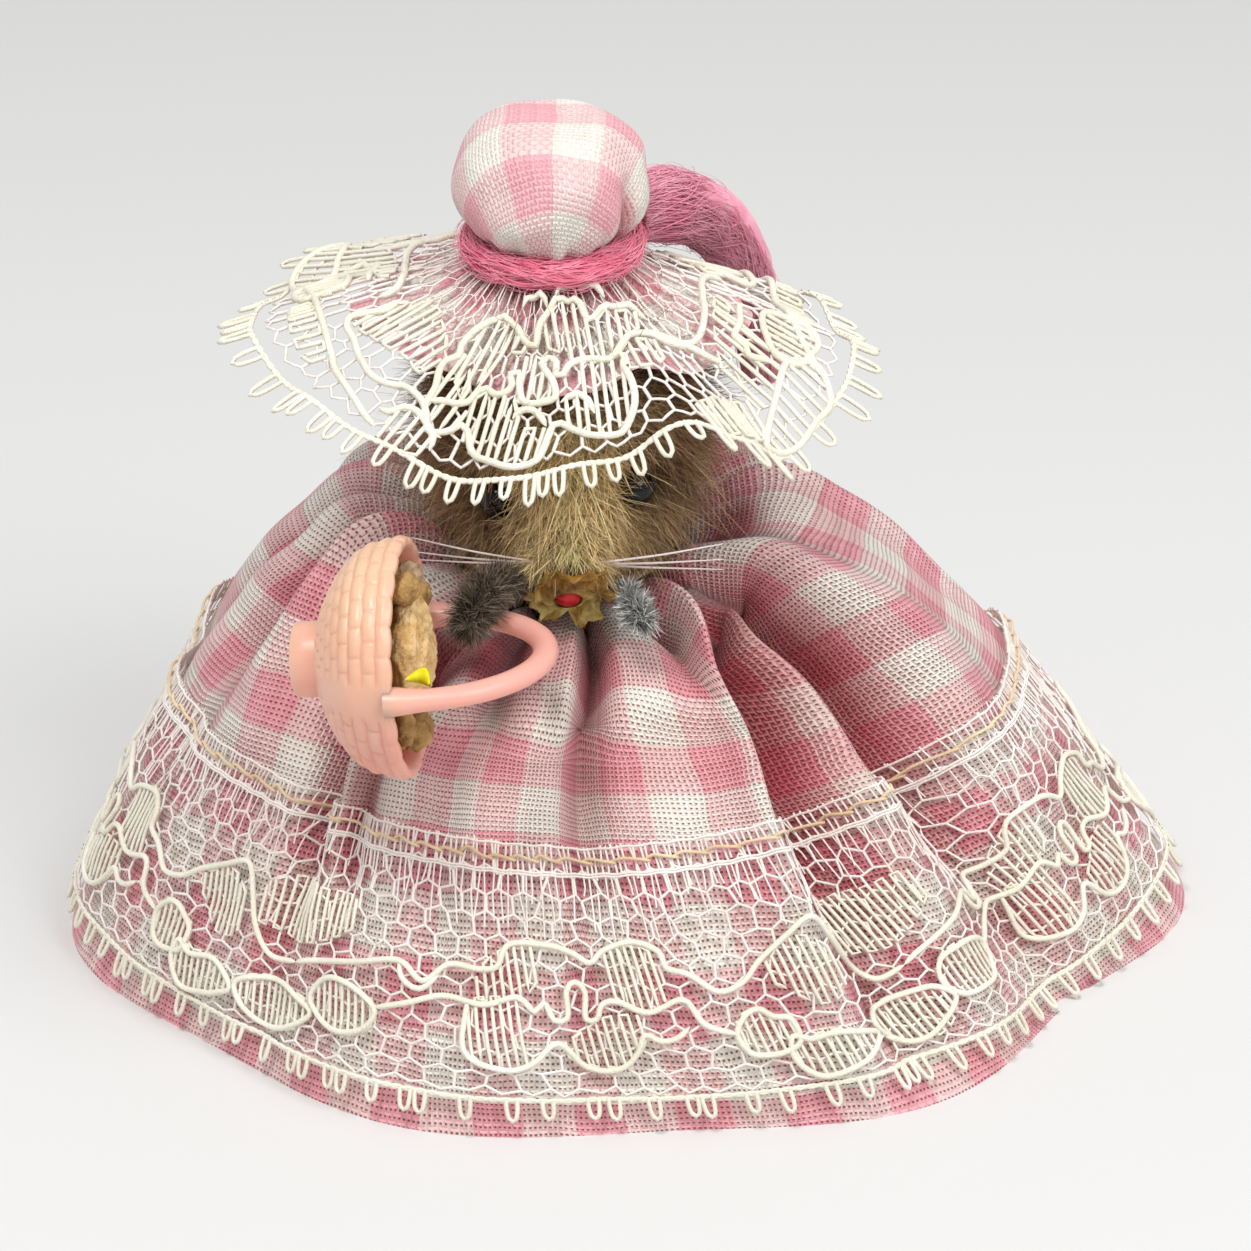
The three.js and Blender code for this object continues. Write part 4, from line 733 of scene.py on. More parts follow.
class Lace:
    """Threads of one lace, laid on place(X, Y, lift), which gives points and directions out."""

    def __init__(self, name, place, seed):
        self.name, self.place, self.rng = name, place, np.random.default_rng(seed)
        self.net, self.cord = Bundle(), Bundle()

    def lay(self, bundle, flat, lift, radius, closed=False, sides=5, place=None):
        """A tube, or one for each line, along lines drawn flat."""
        points, out = (place or self.place)(flat[..., 0], flat[..., 1], lift)
        bundle.tube(points, radius, out if points.ndim == 3 else out[None], closed=closed, sides=sides)

    def shake(self, shape):
        """What keeps the threads from being regular."""
        return self.rng.normal(size=shape) * 0.13

    def honeycomb(self, length, wide, high, top, thick, start=1.0):
        """A zigzag round the lace for each row, hung on the row above by short, thinner threads."""
        cells = int(length / wide)
        wide = length / cells
        upper = None
        for k, y in enumerate(np.arange(top, LACE_DEEP - 0.6, high)):
            size = thick * np.interp(y, [top, top + 8], [start, 1])
            x = (np.arange(2 * cells) + k) * wide / 2
            zig = y + np.where(np.arange(2 * cells) % 2, 0.16, -0.16) * high
            row = np.stack([x, zig], -1) + self.shake((2 * cells, 2)) * [wide / 1.75, 1]
            ring = (row + np.roll(row, -1, 0)) / 2
            ring[-1] = (row[-1] + row[0] + [length, 0]) / 2
            both = np.stack([row, ring], 1).reshape(-1, 2)
            self.lay(self.net, both, 0.0, size, closed=True, sides=4)
            if upper is not None:
                hangers = np.stack([upper, (upper + row[0::2]) / 2, row[0::2]], 1)
                self.lay(self.net, hangers, 0.0, size * 1.15, sides=4)
            upper = row[1::2]

    def fringe(self, length, space, top, foot, thick):
        """Fine loose threads down from the straight edge."""
        count = int(length / space)
        start = np.stack([np.arange(count) * space + self.shake(count), top + self.shake(count)], -1)
        end = start + np.stack([self.shake(count) * 2, self.rng.uniform(*foot, count)], -1)
        middle = (start + end) / 2 + self.shake((count, 1)) * 0.5
        self.lay(self.net, np.stack([start, middle, end], 1), 0.06, thick, sides=4)

    def motif(self, lines, leaves, patches, thick, pitch, place=None, radial=False):
        """Heavy outlines, and ladders of bars inside the leaves and patches."""
        for line in lines:
            cord = flow(line, 0.5)
            end = np.minimum(np.arange(len(cord)), np.arange(len(cord))[::-1])
            size = thick * np.sqrt(np.clip(end / 1.5, 0.02, 1))
            self.lay(self.cord, cord, 0.32, size, sides=6, place=place)
        for leaf in leaves:
            leaf = np.array(leaf) + self.shake((len(leaf), 2)) * 1.2
            self.lay(self.cord, flow(leaf, 0.5, closed=True), 0.32, thick, closed=True, sides=6, place=place)
        for patch in [*leaves, *patches]:
            way = np.mean(patch, axis=0) if radial else (0, 1)
            self.lay(self.cord, bars(patch, pitch, way=way), 0.2, thick * 0.65, place=place)

    def edge(self, length, squeeze, space, drop):
        """The corded edge, of two twisted threads, and its looped points."""
        ring = np.linspace(0, length, int(length / 0.35), endpoint=False)
        for phase in (0, math.pi):
            twist = np.stack([ring, LACE_DEEP + 0.13 * np.sin(ring * TAU / 1.9 + phase)], -1)
            self.lay(self.cord, twist, 0.15, 0.17, closed=True)
        at = 0.0
        while at < length - 1:
            deep = self.rng.uniform(*drop)
            half = [(0.42, -0.15), (0.4, 0.45 * deep), (0.27, 0.86 * deep)]
            loop = np.array([(-x, y) for x, y in half] + [(0, deep)] + half[::-1])
            self.lay(self.cord, flow(loop * [squeeze, 1] + [at, LACE_DEEP], 0.4), 0.22, 0.2)
            close = self.rng.uniform() < 0.16
            at += (1.2 if close else space + self.rng.uniform(-0.5, 0.6)) * squeeze

    def make(self):
        """The net, which stands for the node of the lace's name, and the cords on it."""
        net = self.net.make(self.name + "_net", LACE_NET, "cream_lace", stands_for=[self.name])
        return net, self.cord.make(self.name + "_cord", LACE_CORD, "cream_lace")


SKIRT_REPEATS = 5


def on_skirt(x, y, lift):
    """The place on the skirt of a point of the lace."""
    angle = FRONT - 0.013 + x / (REPEAT * SKIRT_REPEATS) * TAU
    return skirt_surface(angle, LACE_TOP + (LACE_FOOT - LACE_TOP) * y / LACE_DEEP, CLOTH + 0.45 + lift)


skirt_lace = Lace("skirt_lace", on_skirt, 2)
hem_length = REPEAT * SKIRT_REPEATS
skirt_lace.honeycomb(hem_length, 2.45, 2.15, 2.6, 0.12)
skirt_lace.fringe(hem_length, 0.62, -0.3, (2.7, 3.3), 0.1)
skirt_lace.fringe(hem_length, 0.8, 2.6, (1.5, 6.5), 0.08)
ring = np.linspace(0, hem_length, int(hem_length / 0.8), endpoint=False)
for y, radius in ((0.0, 0.11), (2.5, 0.12), (2.75, 0.1)):
    thread = np.stack([ring, y + 0.07 * np.sin(ring * 2.1)], -1)
    skirt_lace.lay(skirt_lace.net, thread, 0.12, radius, closed=True)
for k in range(SKIRT_REPEATS):
    shift = [k * REPEAT, 0]
    drawn = (SKIRT_LINES, SKIRT_LEAVES, SKIRT_PATCHES)
    skirt_lace.motif(*[[np.array(one) + shift for one in group] for group in drawn], thick=0.25, pitch=0.72)
skirt_lace.edge(hem_length, 1.0, 3.0, (2.4, 3.0))
skirt_net, skirt_cord = skirt_lace.make()

# The beige thread along the lace's straight edge, in long and short stitches
stitches = Bundle()
at, rng = 0.0, np.random.default_rng(4)
while at < hem_length - 0.5:
    long = rng.uniform(2.2, 3.6)
    dip = (at + long * 0.3, 1.0 + rng.normal() * 0.12)
    flat = flow([(at, 1.35), dip, (at + long * 0.75, 1.25), (at + long + 0.5, 1.5)], 0.4)
    lift = 0.4 * np.sin(np.linspace(0, math.pi, len(flat))) ** 0.7 + 0.1
    points, out = on_skirt(flat[:, 0], flat[:, 1], lift)
    stitches.tube(points, 0.14, out[None], sides=5)
    at += long
stitches.make("lace_stitches", STITCH, "sewing_thread", stands_for=["lace_stitching"])

# The mob cap's puff, a stuffed ball whose cloth is gathered into the yarn

puff_radius = smooth([
    [0, 0], [0.18, 4.5], [0.36, 7.2], [0.52, 7.95], [0.68, 7.7], [0.84, 6.4], [1, CAP_WAIST],
])
puff_rise = smooth([[0, 11], [0.18, 10.45], [0.36, 8.5], [0.52, 5.9], [0.68, 3.6], [0.84, 1.8], [1, 0]])
CAP_COLUMNS, PUFF_ROWS = 288, 80
shares = np.linspace(0, 1, PUFF_ROWS)[:, None]
around = FRONT + np.arange(CAP_COLUMNS)[None] * TAU / CAP_COLUMNS
gather = np.clip((shares - 0.55) / 0.45, 0, 1) ** 1.6
crimp = np.abs(np.sin(around * 5.5 + 1.1 * np.sin(around * 2))) ** 0.7 - 0.5
crimp = crimp + 0.45 * np.sin(around * 17 + 1.3)
reach = puff_radius(shares) + 0.65 * gather * crimp
right_tuck = np.exp(-(apart(around, FRONT + 0.95) / 0.13) ** 2) * np.clip((shares - 0.4) / 0.25, 0, 1)
left_tuck = np.exp(-(apart(around, FRONT + 0.22) / 0.08) ** 2) * np.clip((shares - 0.72) / 0.2, 0, 1)
reach = reach - 1.5 * right_tuck - 0.8 * left_tuck
puff = TIE + round_points(reach, around, puff_rise(shares) + CAP_TILT * reach * np.sin(around))
puff_middle = TIE + [0, 0, 5.5]
puff += unit(puff - puff_middle) * (0.22 * ripple(puff, 6, 21))[..., None]
length = length_down(puff)
around_uv = np.concatenate([around, around[:, :1] + TAU], 1)
u, v = length * np.cos(around_uv) + 3.8, length * np.sin(around_uv) + 1.1
# Painted shade in the two tucks and in the hollows of the gathers at the waist
painted_shade_share = np.clip(0.9 * right_tuck + 0.9 * left_tuck - 0.5 * gather * crimp, 0, 1)
cap_puff = piece(
    "cap_puff", puff, grid_faces(PUFF_ROWS, CAP_COLUMNS), CLOSE_CHECK, "check_cloth", stands_for=["mob_cap"],
    uv=grid_uv(u, v), tint=painted_shade_tint(painted_shade_share),
)

ball = puff_middle + (puff[8::6, ::6] - puff_middle) * 0.86
ball[..., 2] = np.maximum(ball[..., 2], TIE[2] + 1.2)
piece("stuffing_ball", ball, grid_faces(*ball.shape[:2]), STUFFING, "stuffing", stands_for=["cap_stuffing"])

# The ruffle and its lace

brim_drop = smooth(BRIM_DROP)
BRIM_LOW = TIE[2] - YARN_HALF_HEIGHT - 0.3 - CLOTH


def brim_edge(angle):
    """The reach of the brim's oval."""
    return 1 / np.hypot(np.cos(angle) / BRIM_SIDE, np.sin(angle) / BRIM_DEPTH)


def brim_base(angle, share):
    """Points of the brim without its waves, at an angle and a share of the way from the tie to its edge."""
    radius = BRIM_START + (brim_edge(angle) - BRIM_START) * share
    y = radius * np.sin(angle)
    drop = brim_drop(np.degrees(apart(angle, 0))) * np.maximum(share, 0) ** 1.2
    z = BRIM_LOW + CAP_TILT * y * (1 - 0.6 * share) - drop
    return np.stack([TIE[0] + radius * np.cos(angle), TIE[1] + y, z], -1)


def brim_surface(angle, share, lift):
    """Points of the brim, lifted out of it."""
    angle, share = np.broadcast_arrays(np.asarray(angle, float), np.asarray(share, float))
    out = outward(brim_base, angle, np.clip(share, 0, 1))
    grow = np.clip(share, 0, 1.1) ** 1.5
    wave = BRIM_WAVE_DEPTH * grow * np.cos(BRIM_WAVES * (angle - FRONT) + 0.4)
    wave = wave + 0.35 * grow * np.sin(17 * angle + 1)
    near = np.exp(-((share / 0.3) ** 2))
    pleat = 0.4 * near * np.sin(34 * angle + 2 * np.sin(3 * angle))
    rise = 0.9 * np.exp(-((share / 0.15) ** 2))
    return brim_base(angle, share) + out * (wave + pleat + rise + lift)[..., None], out


# Its lace: X round it and Y outwards, as on the skirt, for the net and the edge
BRIM_LENGTH, BRIM_TOP = 174.0, 6.6


def on_brim(x, y, lift):
    """The place on the brim of a point of the net or the edge."""
    angle = FRONT + 0.05 + x / BRIM_LENGTH * TAU
    return brim_surface(angle, 0.05 + 0.95 * (y - BRIM_TOP) / (LACE_DEEP - BRIM_TOP), CLOTH / 2 + lift)


def over_brim(side):
    """The place of a pattern that is drawn as seen from above, at the front or turned round to the back."""
    def place(x, y, lift):
        angle = np.arctan2(side * y, side * x)
        share = (np.hypot(x, y) - BRIM_START) / (brim_edge(angle) - BRIM_START)
        return brim_surface(angle, share, CLOTH / 2 + lift)
    return place


# The cords of its flowers, in millimetres to the right of the tie and behind it
BRIM_LINES = [
    [(-9.9, -14.6), (-9.6, -13.6), (-9, -12.7), (-8.7, -11.4), (-8.2, -10.7), (-7.2, -10.4), (-7, -9.6),
     (-6.2, -8.7), (-5.3, -8.2), (-4.5, -7.7), (-3.6, -7.7), (-2.8, -8.3), (-2.2, -9.3), (-1.6, -10),
     (-1, -10.2), (-0.9, -9.1), (-0.4, -8), (0.4, -7), (1.4, -6.9), (2.3, -7.2), (3, -8.3), (3.9, -7.6),
     (4.7, -7), (5.8, -6.5), (7.5, -6.7)],
    [(-9.6, -13.7), (-8.6, -13.6), (-7.1, -13.7), (-6.3, -13.4), (-5.7, -12.8), (-5, -12.7),
     (-4.4, -13.2), (-3.5, -13.3), (-2.9, -12.8), (-3.1, -12), (-2.4, -12), (-2.3, -13), (-2.1, -14),
     (-1.4, -14.4), (-0.2, -14.5), (0.6, -14.3), (0.5, -13.5), (0.2, -12.8), (-0.3, -12.1), (-0.6, -11.6),
     (-0.1, -11.2), (0.6, -11.7), (0.6, -12.7), (1.2, -12.7), (1.5, -12.1), (2.3, -11.6), (3.6, -11.5),
     (4.8, -11.7), (5.5, -11), (6, -9.9), (6.7, -9.1), (7.9, -8.6), (8.9, -8.5), (11, -7.1)],
    [(-9.8, -15.3), (-9.5, -15.7), (-8.3, -15.6), (-7, -15.1), (-6.5, -15.5), (-6.3, -16.6),
     (-5.8, -17.3), (-4.6, -17.9), (-3.3, -18.5), (-2, -18.7), (-0.8, -18.5), (-0.3, -17.9), (0.1, -17),
     (0.5, -16.3), (1.1, -16.3), (2.1, -16.9), (3.3, -17.3), (4.4, -17.3), (5.7, -17.2), (6.4, -16.5),
     (6.8, -15.5), (6.7, -14.4), (6.3, -13.3), (5.6, -12.2)],
    [(-2.8, -15.3), (-2.2, -14.8), (-1.2, -14.9), (-0.5, -15.6), (-0.1, -16.3)],
    [(1, -14.8), (1.6, -14.4), (2.3, -14.2), (3.1, -14.7), (3.6, -15.7)],
    [(0.4, -6.9), (0.6, -6.2), (1.3, -5.8), (2.4, -5.7), (3.4, -5.9), (4.1, -6.5)],
    [(-2.1, -7.4), (-1.8, -6.8), (-1.1, -6.5), (-0.4, -6.8), (-0.2, -7.4)],
    [(-12.2, -4), (-13.2, -4.6), (-14.9, -4.6), (-16.1, -4.7), (-16.4, -5.6), (-15.9, -6.8),
     (-15.5, -8.5), (-15, -9.8), (-14.2, -11.1), (-12.8, -11.9), (-11.5, -12.3), (-10.7, -12.9),
     (-10, -13.7), (-9.7, -14.6), (-9.6, -15.6), (-8.6, -16)],
    [(-10.1, 7.1), (-11.5, 6.4), (-12.1, 4.5), (-12, 0.3), (-12.3, -1.8), (-13.1, -2.9), (-13.9, -3.1)],
    [(-21.3, 6.1), (-19.8, 1.8), (-18.6, -3.2), (-18.1, -5.7), (-17.7, -7.9), (-17.2, -10),
     (-16.3, -11.6), (-15.3, -13.1), (-14.4, -14.4), (-13.7, -15.2)],
    [(-13.5, -13.7), (-12.7, -14.2), (-11.4, -14), (-10.4, -14.4), (-9.6, -15.3), (-9.2, -16.1),
     (-9.5, -16.9)],
    [(15, -1), (15, -3.5), (14.5, -5.1), (15.4, -5.6), (15.7, -6.3), (17, -6.3), (17.7, -6.4)],
    [(6.7, -9.1), (8.6, -8), (11, -7.1), (12.6, -7.3), (13.8, -7.4)],
]
BRIM_LEAVES = [
    [(17.1, -1.4), (18.8, -0.7), (20.6, -0.8), (21.1, -2.6), (20.7, -4.7), (19.7, -5.8), (18.2, -5.7),
     (16.9, -3.7)],
    [(18.4, -6.4), (20.1, -5.4), (21.4, -5.4), (22, -8.1), (21.4, -9.6), (20.3, -11), (18.7, -12.3),
     (17.4, -13), (17, -11.9), (17.7, -10.1), (17.9, -8.6)],
]
BRIM_PATCHES = [
    [(-9.3, -15.6), (-9.4, -14), (-8.8, -12.5), (-8.5, -11.3), (-7.9, -10.5), (-7, -10.1), (-6.8, -13.6),
     (-6.9, -15.1)],
    [(-6.8, -13.4), (-6.8, -9.6), (-5.9, -8.6), (-4.8, -7.9), (-3.6, -7.9), (-2.7, -8.6), (-2, -9.8),
     (-1.7, -10.5), (-3.5, -10.3), (-4.8, -10.9), (-5.6, -12.5)],
    [(-6.9, -15.2), (-6.3, -13.7), (-5.1, -12.9), (-3.9, -13.4), (-3, -13.9), (-2.6, -15.8),
     (-0.5, -16.3), (-0.1, -16.8), (-0.6, -18), (-2, -18.6), (-4.6, -17.8), (-5.9, -17)],
    [(-0.7, -10.3), (-0.6, -8.7), (0, -7.7), (1.1, -7), (2.2, -7.4), (3, -8.7), (4.3, -7.6), (5.6, -7),
     (6.8, -7.1), (6.2, -9.3), (5.5, -10.6), (4.7, -11.5), (2.4, -11.5), (0.9, -10.4)],
    [(-2.3, -11), (-0.6, -11.4), (-0.1, -12.4), (0.5, -14), (-1.4, -14.3), (-2.1, -13.8)],
    [(1.2, -14.6), (2.3, -14.3), (2.5, -11.8), (5, -11.9), (6, -13.3), (6.6, -14.9), (6.4, -16.2),
     (5.2, -17), (3.3, -17.1), (1.4, -16.4), (0.7, -16.1)],
    [(5.7, -10.9), (6.8, -9.7), (8.2, -9.2), (8.6, -10.3), (8, -12.2), (6.7, -12.4), (5.6, -12)],
    [(-15.1, -4.6), (-13.7, -3.9), (-12.1, -4.1), (-9.5, -4.9), (-9, -6.6), (-8.5, -8.1), (-8.7, -9.9),
     (-9.5, -11.4), (-10.6, -11.1), (-11.5, -9.8), (-13.2, -8.6), (-14.9, -6.6), (-15.9, -5.4)],
    [(-18.2, 8.1), (-16.8, 9.4), (-14.7, 9), (-13.2, 6.4), (-12.8, 3.4), (-13.5, 0.8), (-15, 3.9),
     (-16.7, 4.6), (-18, 5.2)],
    [(-13.7, -15.6), (-13.3, -14.5), (-11.7, -14.1), (-10.3, -14.6), (-9.6, -15.5), (-9.4, -16.6),
     (-10.2, -17.2), (-11.5, -17.2), (-12.7, -16.7)],
    [(-21.2, -0.2), (-19.5, -0.9), (-18.5, -5.6), (-18.3, -8.2), (-19.7, -7.8), (-20.7, -5.5)],
    [(11.1, -14.9), (12.8, -12), (15.5, -9.7), (16.7, -10), (17.1, -11), (16.6, -12.9), (14.1, -15.6),
     (12.4, -16.6), (11.5, -16.4)],
]
brim_lace = Lace("brim_lace", on_brim, 7)
brim_lace.honeycomb(BRIM_LENGTH, 2.6, 2.1, BRIM_TOP, 0.14, 0.3)
brim_lace.fringe(BRIM_LENGTH, 4.5, BRIM_TOP, (3.2, 6.5), 0.045)
for side in (1, -1):
    brim_lace.motif(BRIM_LINES, BRIM_LEAVES, BRIM_PATCHES, 0.31, 0.78, over_brim(side), radial=True)
brim_lace.edge(BRIM_LENGTH, 1.2, 2.4, (1.8, 2.9))
brim_net, brim_cord = brim_lace.make()

RUFFLE_ROWS = 26
shares = np.linspace(0, 1, RUFFLE_ROWS)[:, None] * (0.64 + 0.03 * np.sin(around * 4 + 1)) - 0.08
ruffle = brim_surface(around, shares, -0.5)[0]
length = length_down(ruffle)
CLOTH_ROUND = 88
u, v = np.broadcast_arrays(np.arange(CAP_COLUMNS + 1) * (CLOTH_ROUND / CAP_COLUMNS), length)
# Painted shade on the ruffle close to the tie, under the yarn
painted_shade_share = np.exp(-((shares + 0.05) / 0.12) ** 2)
cap_ruffle = piece(
    "cap_ruffle", ruffle, grid_faces(RUFFLE_ROWS, CAP_COLUMNS), CLOSE_CHECK, "check_cloth",
    uv=grid_uv(u, v), tint=painted_shade_tint(painted_shade_share),
)

# The yarn round the cap's waist and its knot

turns = np.arange(90) * TAU / 90
ring = TIE + round_points(YARN_RADIUS, turns, CAP_TILT * YARN_RADIUS * np.sin(turns) + 0.1)
ring_out = round_points(1, turns, 0)
rng = np.random.default_rng(9)
bundle = Bundle()
bundle.tube(ring, 0.85, sides=10, closed=True)
WRAP_FIBRES, LOOSE_FIBRES = 230, 60
for k in range(WRAP_FIBRES):
    loose = 0.3 * (k >= WRAP_FIBRES - LOOSE_FIBRES)
    lean = rng.uniform(0, TAU) + turns * rng.integers(-1, 2)
    lean = lean + 0.4 * np.sin(turns * rng.integers(2, 5) + rng.uniform(0, TAU))
    away = rng.uniform(0.75, 1.15) + loose
    away = away + (0.16 + loose / 2) * np.sin(turns * rng.integers(3, 9) + rng.uniform(0, TAU))
    line = ring + ring_out * (YARN_HALF_WIDTH * away * np.cos(lean))[:, None]
    line[:, 2] += YARN_HALF_HEIGHT * away * np.sin(lean)
    bundle.tube(line, rng.uniform(0.035, 0.07) * (1 - 2 * loose), sides=4, closed=True)
bundle.make("yarn_wrap", WOOL, "wool", stands_for=["yarn_tie"])

# Three turns of the knot, each leaning its own way, with fibres round them
knot_side = np.array([-knot_way[1], knot_way[0], 0])
loop = np.arange(40) * TAU / 40
bundle = Bundle()
for k, lean in enumerate((0.25, 0.5, -0.6)):
    aside = knot_side * math.cos(lean) + [0, 0, math.sin(lean)]
    upward = -knot_side * math.sin(lean) + [0, 0, math.cos(lean)]
    line = knot_at + 0.95 * (np.cos(loop)[:, None] * aside + np.sin(loop)[:, None] * upward)
    line += knot_way * (k - 1) * 0.5
    bundle.tube(line, 0.75, knot_way, sides=10, closed=True)
    for _ in range(14):
        phase, spin = rng.uniform(0, TAU), rng.integers(-2, 3)
        wrap = phase + spin * loop
        radial = unit(line - knot_at)
        fibre = line + radial * (0.82 * np.cos(wrap))[:, None] + knot_way * (0.82 * np.sin(wrap))[:, None]
        bundle.tube(fibre, 0.1, knot_way, sides=4, closed=True)
bundle.make("yarn_knot_turns", WOOL, "wool", stands_for=["yarn_knot"])

# The head: a skin under fur, tan along the snout and grey-brown on the cheeks

SNOUT = unit(np.array([0.02, -math.cos(SNOUT_FALL), -math.sin(SNOUT_FALL)]))
SNOUT_UP = np.array([0, -math.sin(SNOUT_FALL), math.cos(SNOUT_FALL)])
HEAD_SIDE = np.array([math.cos(HEAD_ROLL), 0, math.sin(HEAD_ROLL)])
ROUND_SIDE = unit(np.cross(SNOUT, SNOUT_UP))
SNOUT_END = SNOUT_LENGTH - SNOUT_TIP
head_front = smooth([
    [0, HEAD_RADIUS], [5, HEAD_RADIUS - 1.2], [10, HEAD_RADIUS - 4.1], [14, SNOUT_RADIUS + 1.1],
    [SNOUT_END, SNOUT_RADIUS],
])


def head_radius(forward):
    """The radius of the head at a distance along the snout's line."""
    back = np.sqrt(np.maximum(HEAD_RADIUS**2 - np.minimum(forward, 0) ** 2, 0))
    tip = np.sqrt(np.clip((SNOUT_LENGTH - forward) / SNOUT_TIP, 0, 1))
    return np.where(forward < 0, back, head_front(np.clip(forward, 0, SNOUT_END)) * tip)


def on_head(forward, turn, grow=0.0):
    """Points of the head at a distance along the snout's line and a turn round it from straight up."""
    forward, turn = np.broadcast_arrays(np.asarray(forward, float), np.asarray(turn, float))
    away = np.cos(turn)[..., None] * SNOUT_UP + np.sin(turn)[..., None] * -ROUND_SIDE
    point = HEAD + forward[..., None] * SNOUT + (head_radius(forward) + grow)[..., None] * away
    slope = (head_radius(forward + 0.05) - head_radius(forward - 0.05)) / 0.1
    return point, unit(away - np.clip(slope, -3, 3)[..., None] * SNOUT)


def at_head(forward, side, up):
    """A point by its place along the snout, to the head's left and above the snout's line."""
    return HEAD + forward * SNOUT + up * SNOUT_UP + side * HEAD_SIDE


forward = np.concatenate([
    -HEAD_RADIUS * np.cos(np.linspace(0, math.pi / 2, 20))[:-1],
    np.linspace(0, SNOUT_END, 34)[:-1],
    np.linspace(SNOUT_END, SNOUT_LENGTH, 6),
])
skin, skin_out = on_head(forward[:, None], np.arange(72) * TAU / 72)
skin += skin_out * (0.25 * ripple(skin, 3, 31) - 0.3)[..., None]
head_skin = piece("head_skin", skin, grid_faces(len(forward), 72), SKIN, "grey_fur", stands_for=["head"])

eye_reach = float(head_front(EYE_FORWARD)) + EYE_PROUD
eye_side, eye_up = eye_reach * math.sin(EYE_TURN), eye_reach * math.cos(EYE_TURN)
eyes = [at_head(EYE_FORWARD, side * eye_side, eye_up) for side in (-1, 1)]
GREY_FUR, TAN_FUR = rgb("#8d6b4d"), 1.15 * rgb("#f6d9a2")


def head_hair(name, count, span, long, seed):
    """Hair over a span of the head, tan along the top of the snout and grey-brown elsewhere."""
    rng = np.random.default_rng(seed)
    forward, turn = rng.uniform(*span, count), rng.uniform(0, TAU, count)
    keep = rng.uniform(0, HEAD_RADIUS, count) < np.maximum(head_radius(forward), 3.6)
    forward, turn = forward[keep], turn[keep]
    roots, out = on_head(forward, turn, -0.3)
    keep = (roots[:, 2] < TIE[2] - 5) | (np.hypot(*(roots - TIE)[:, :2].T) > 6)
    roots, out, forward, turn = roots[keep], out[keep], forward[keep], turn[keep]
    near_snout = np.clip((forward - 1) / 7, 0, 1)
    side_way = np.abs(np.sin(turn))
    tan_share = near_snout * np.exp(-((side_way * head_radius(forward) / 4.8) ** 2)) * (np.cos(turn) > -0.35)
    tan_share = tan_share + 0.25 * near_snout * (forward > 12) + 0.22 * ripple(roots, 2.4, 5)
    tan_share = np.clip(tan_share, 0, 1)[:, None]
    grey = GREY_FUR * (1 + 0.4 * ripple(roots, 2.0, 6))[:, None]
    tan = TAN_FUR * (1 + 0.2 * ripple(roots, 1.6, 8))[:, None]
    colours = np.clip(grey * (1 - tan_share) + tan * tan_share, 0, 1)
    cheek = (near_snout * side_way)[:, None]
    lean = out * (0.8 - 0.45 * near_snout)[:, None] + SNOUT * (0.35 + 0.75 * near_snout)[:, None]
    lean = lean + cheek * np.sign(np.sin(turn))[:, None] * -0.5 * ROUND_SIDE + [0, 0, -0.12]
    lean = unit(lean + 0.45 * rng.normal(size=roots.shape))
    hair_long = long * np.where(forward > 12, 0.65, 1.1)
    # The fur is parted before each eye
    clear = np.ones(len(roots), bool)
    room = EYE_RADIUS + 0.3 * long - 0.6
    for side, eye in zip((-1, 1), eyes):
        for way in (unit(side * HEAD_SIDE + 0.5 * SNOUT_UP), unit(SNOUT_UP + 0.56 * SNOUT)):
            for part in (0, 0.35, 0.7, 1):
                off = roots + part * hair_long[:, None] * lean - eye
                ahead = off @ way
                wide = np.linalg.norm(off - ahead[:, None] * way, axis=1)
                clear &= (ahead < -0.3) | (ahead > 5) | (wide > room)
    blades(name, roots[clear], lean[clear], hair_long[clear], 0.046, colours[clear], "grey_fur", 0.42, seed,
           sag=0.1, steps=3)


head_hair("head_fur", 52000, (3, SNOUT_LENGTH - 1.3), 2.5, 13)
head_hair("crown_fur", 30000, (-HEAD_RADIUS, 4), 2.6, 14)
head_hair("stray_hair", 3600, (1, SNOUT_LENGTH - 6), 4.6, 15)

# Eyes and nose of glass, whiskers, and the cut edge of the hide round the nose

def bead(name, centre, radius, way, material, slot, node):
    """A glass bead with its hole across it, and a slight seam round its waist."""
    way = unit(np.asarray(way, float))
    side = unit(np.cross(way, [0.3, 0.2, 1]))
    axes = np.stack([side, np.cross(way, side), way])
    lat = np.linspace(0, math.pi, 49)
    hole, lip = 0.2, 0.1
    ring = np.maximum(np.sin(lat), hole) * (1 - 0.012 * np.exp(-((np.cos(lat) / 0.05) ** 2)))
    high = np.cos(lat) * np.clip(1 - lip * np.exp(-(((np.sin(lat) - hole) / 0.12) ** 2)), 0, 1)
    inner = np.stack([np.full(6, hole), np.linspace(high[-1], high[0], 6)], -1)
    outline = np.concatenate([np.stack([ring, high], -1), inner])
    points = round_points(outline[:, :1], np.arange(48) * TAU / 48, outline[:, 1:])
    points = centre + radius * points @ axes
    return piece(name, points, grid_faces(len(outline), 48), material, slot, stands_for=[node])


for name, eye, way in (("left_eye", eyes[0], HEAD_SIDE), ("right_eye", eyes[1], -HEAD_SIDE)):
    bead(name + "_bead", eye, EYE_RADIUS, way + [0, 0, -1.2], BLACK_GLASS, "black_glass", name)
nose_at = at_head(SNOUT_LENGTH + 0.5, 0, -0.4)
bead("nose_bead", nose_at, NOSE_RADIUS, HEAD_SIDE + 0.2 * SNOUT_UP, RED_GLASS, "red_glass", "nose")

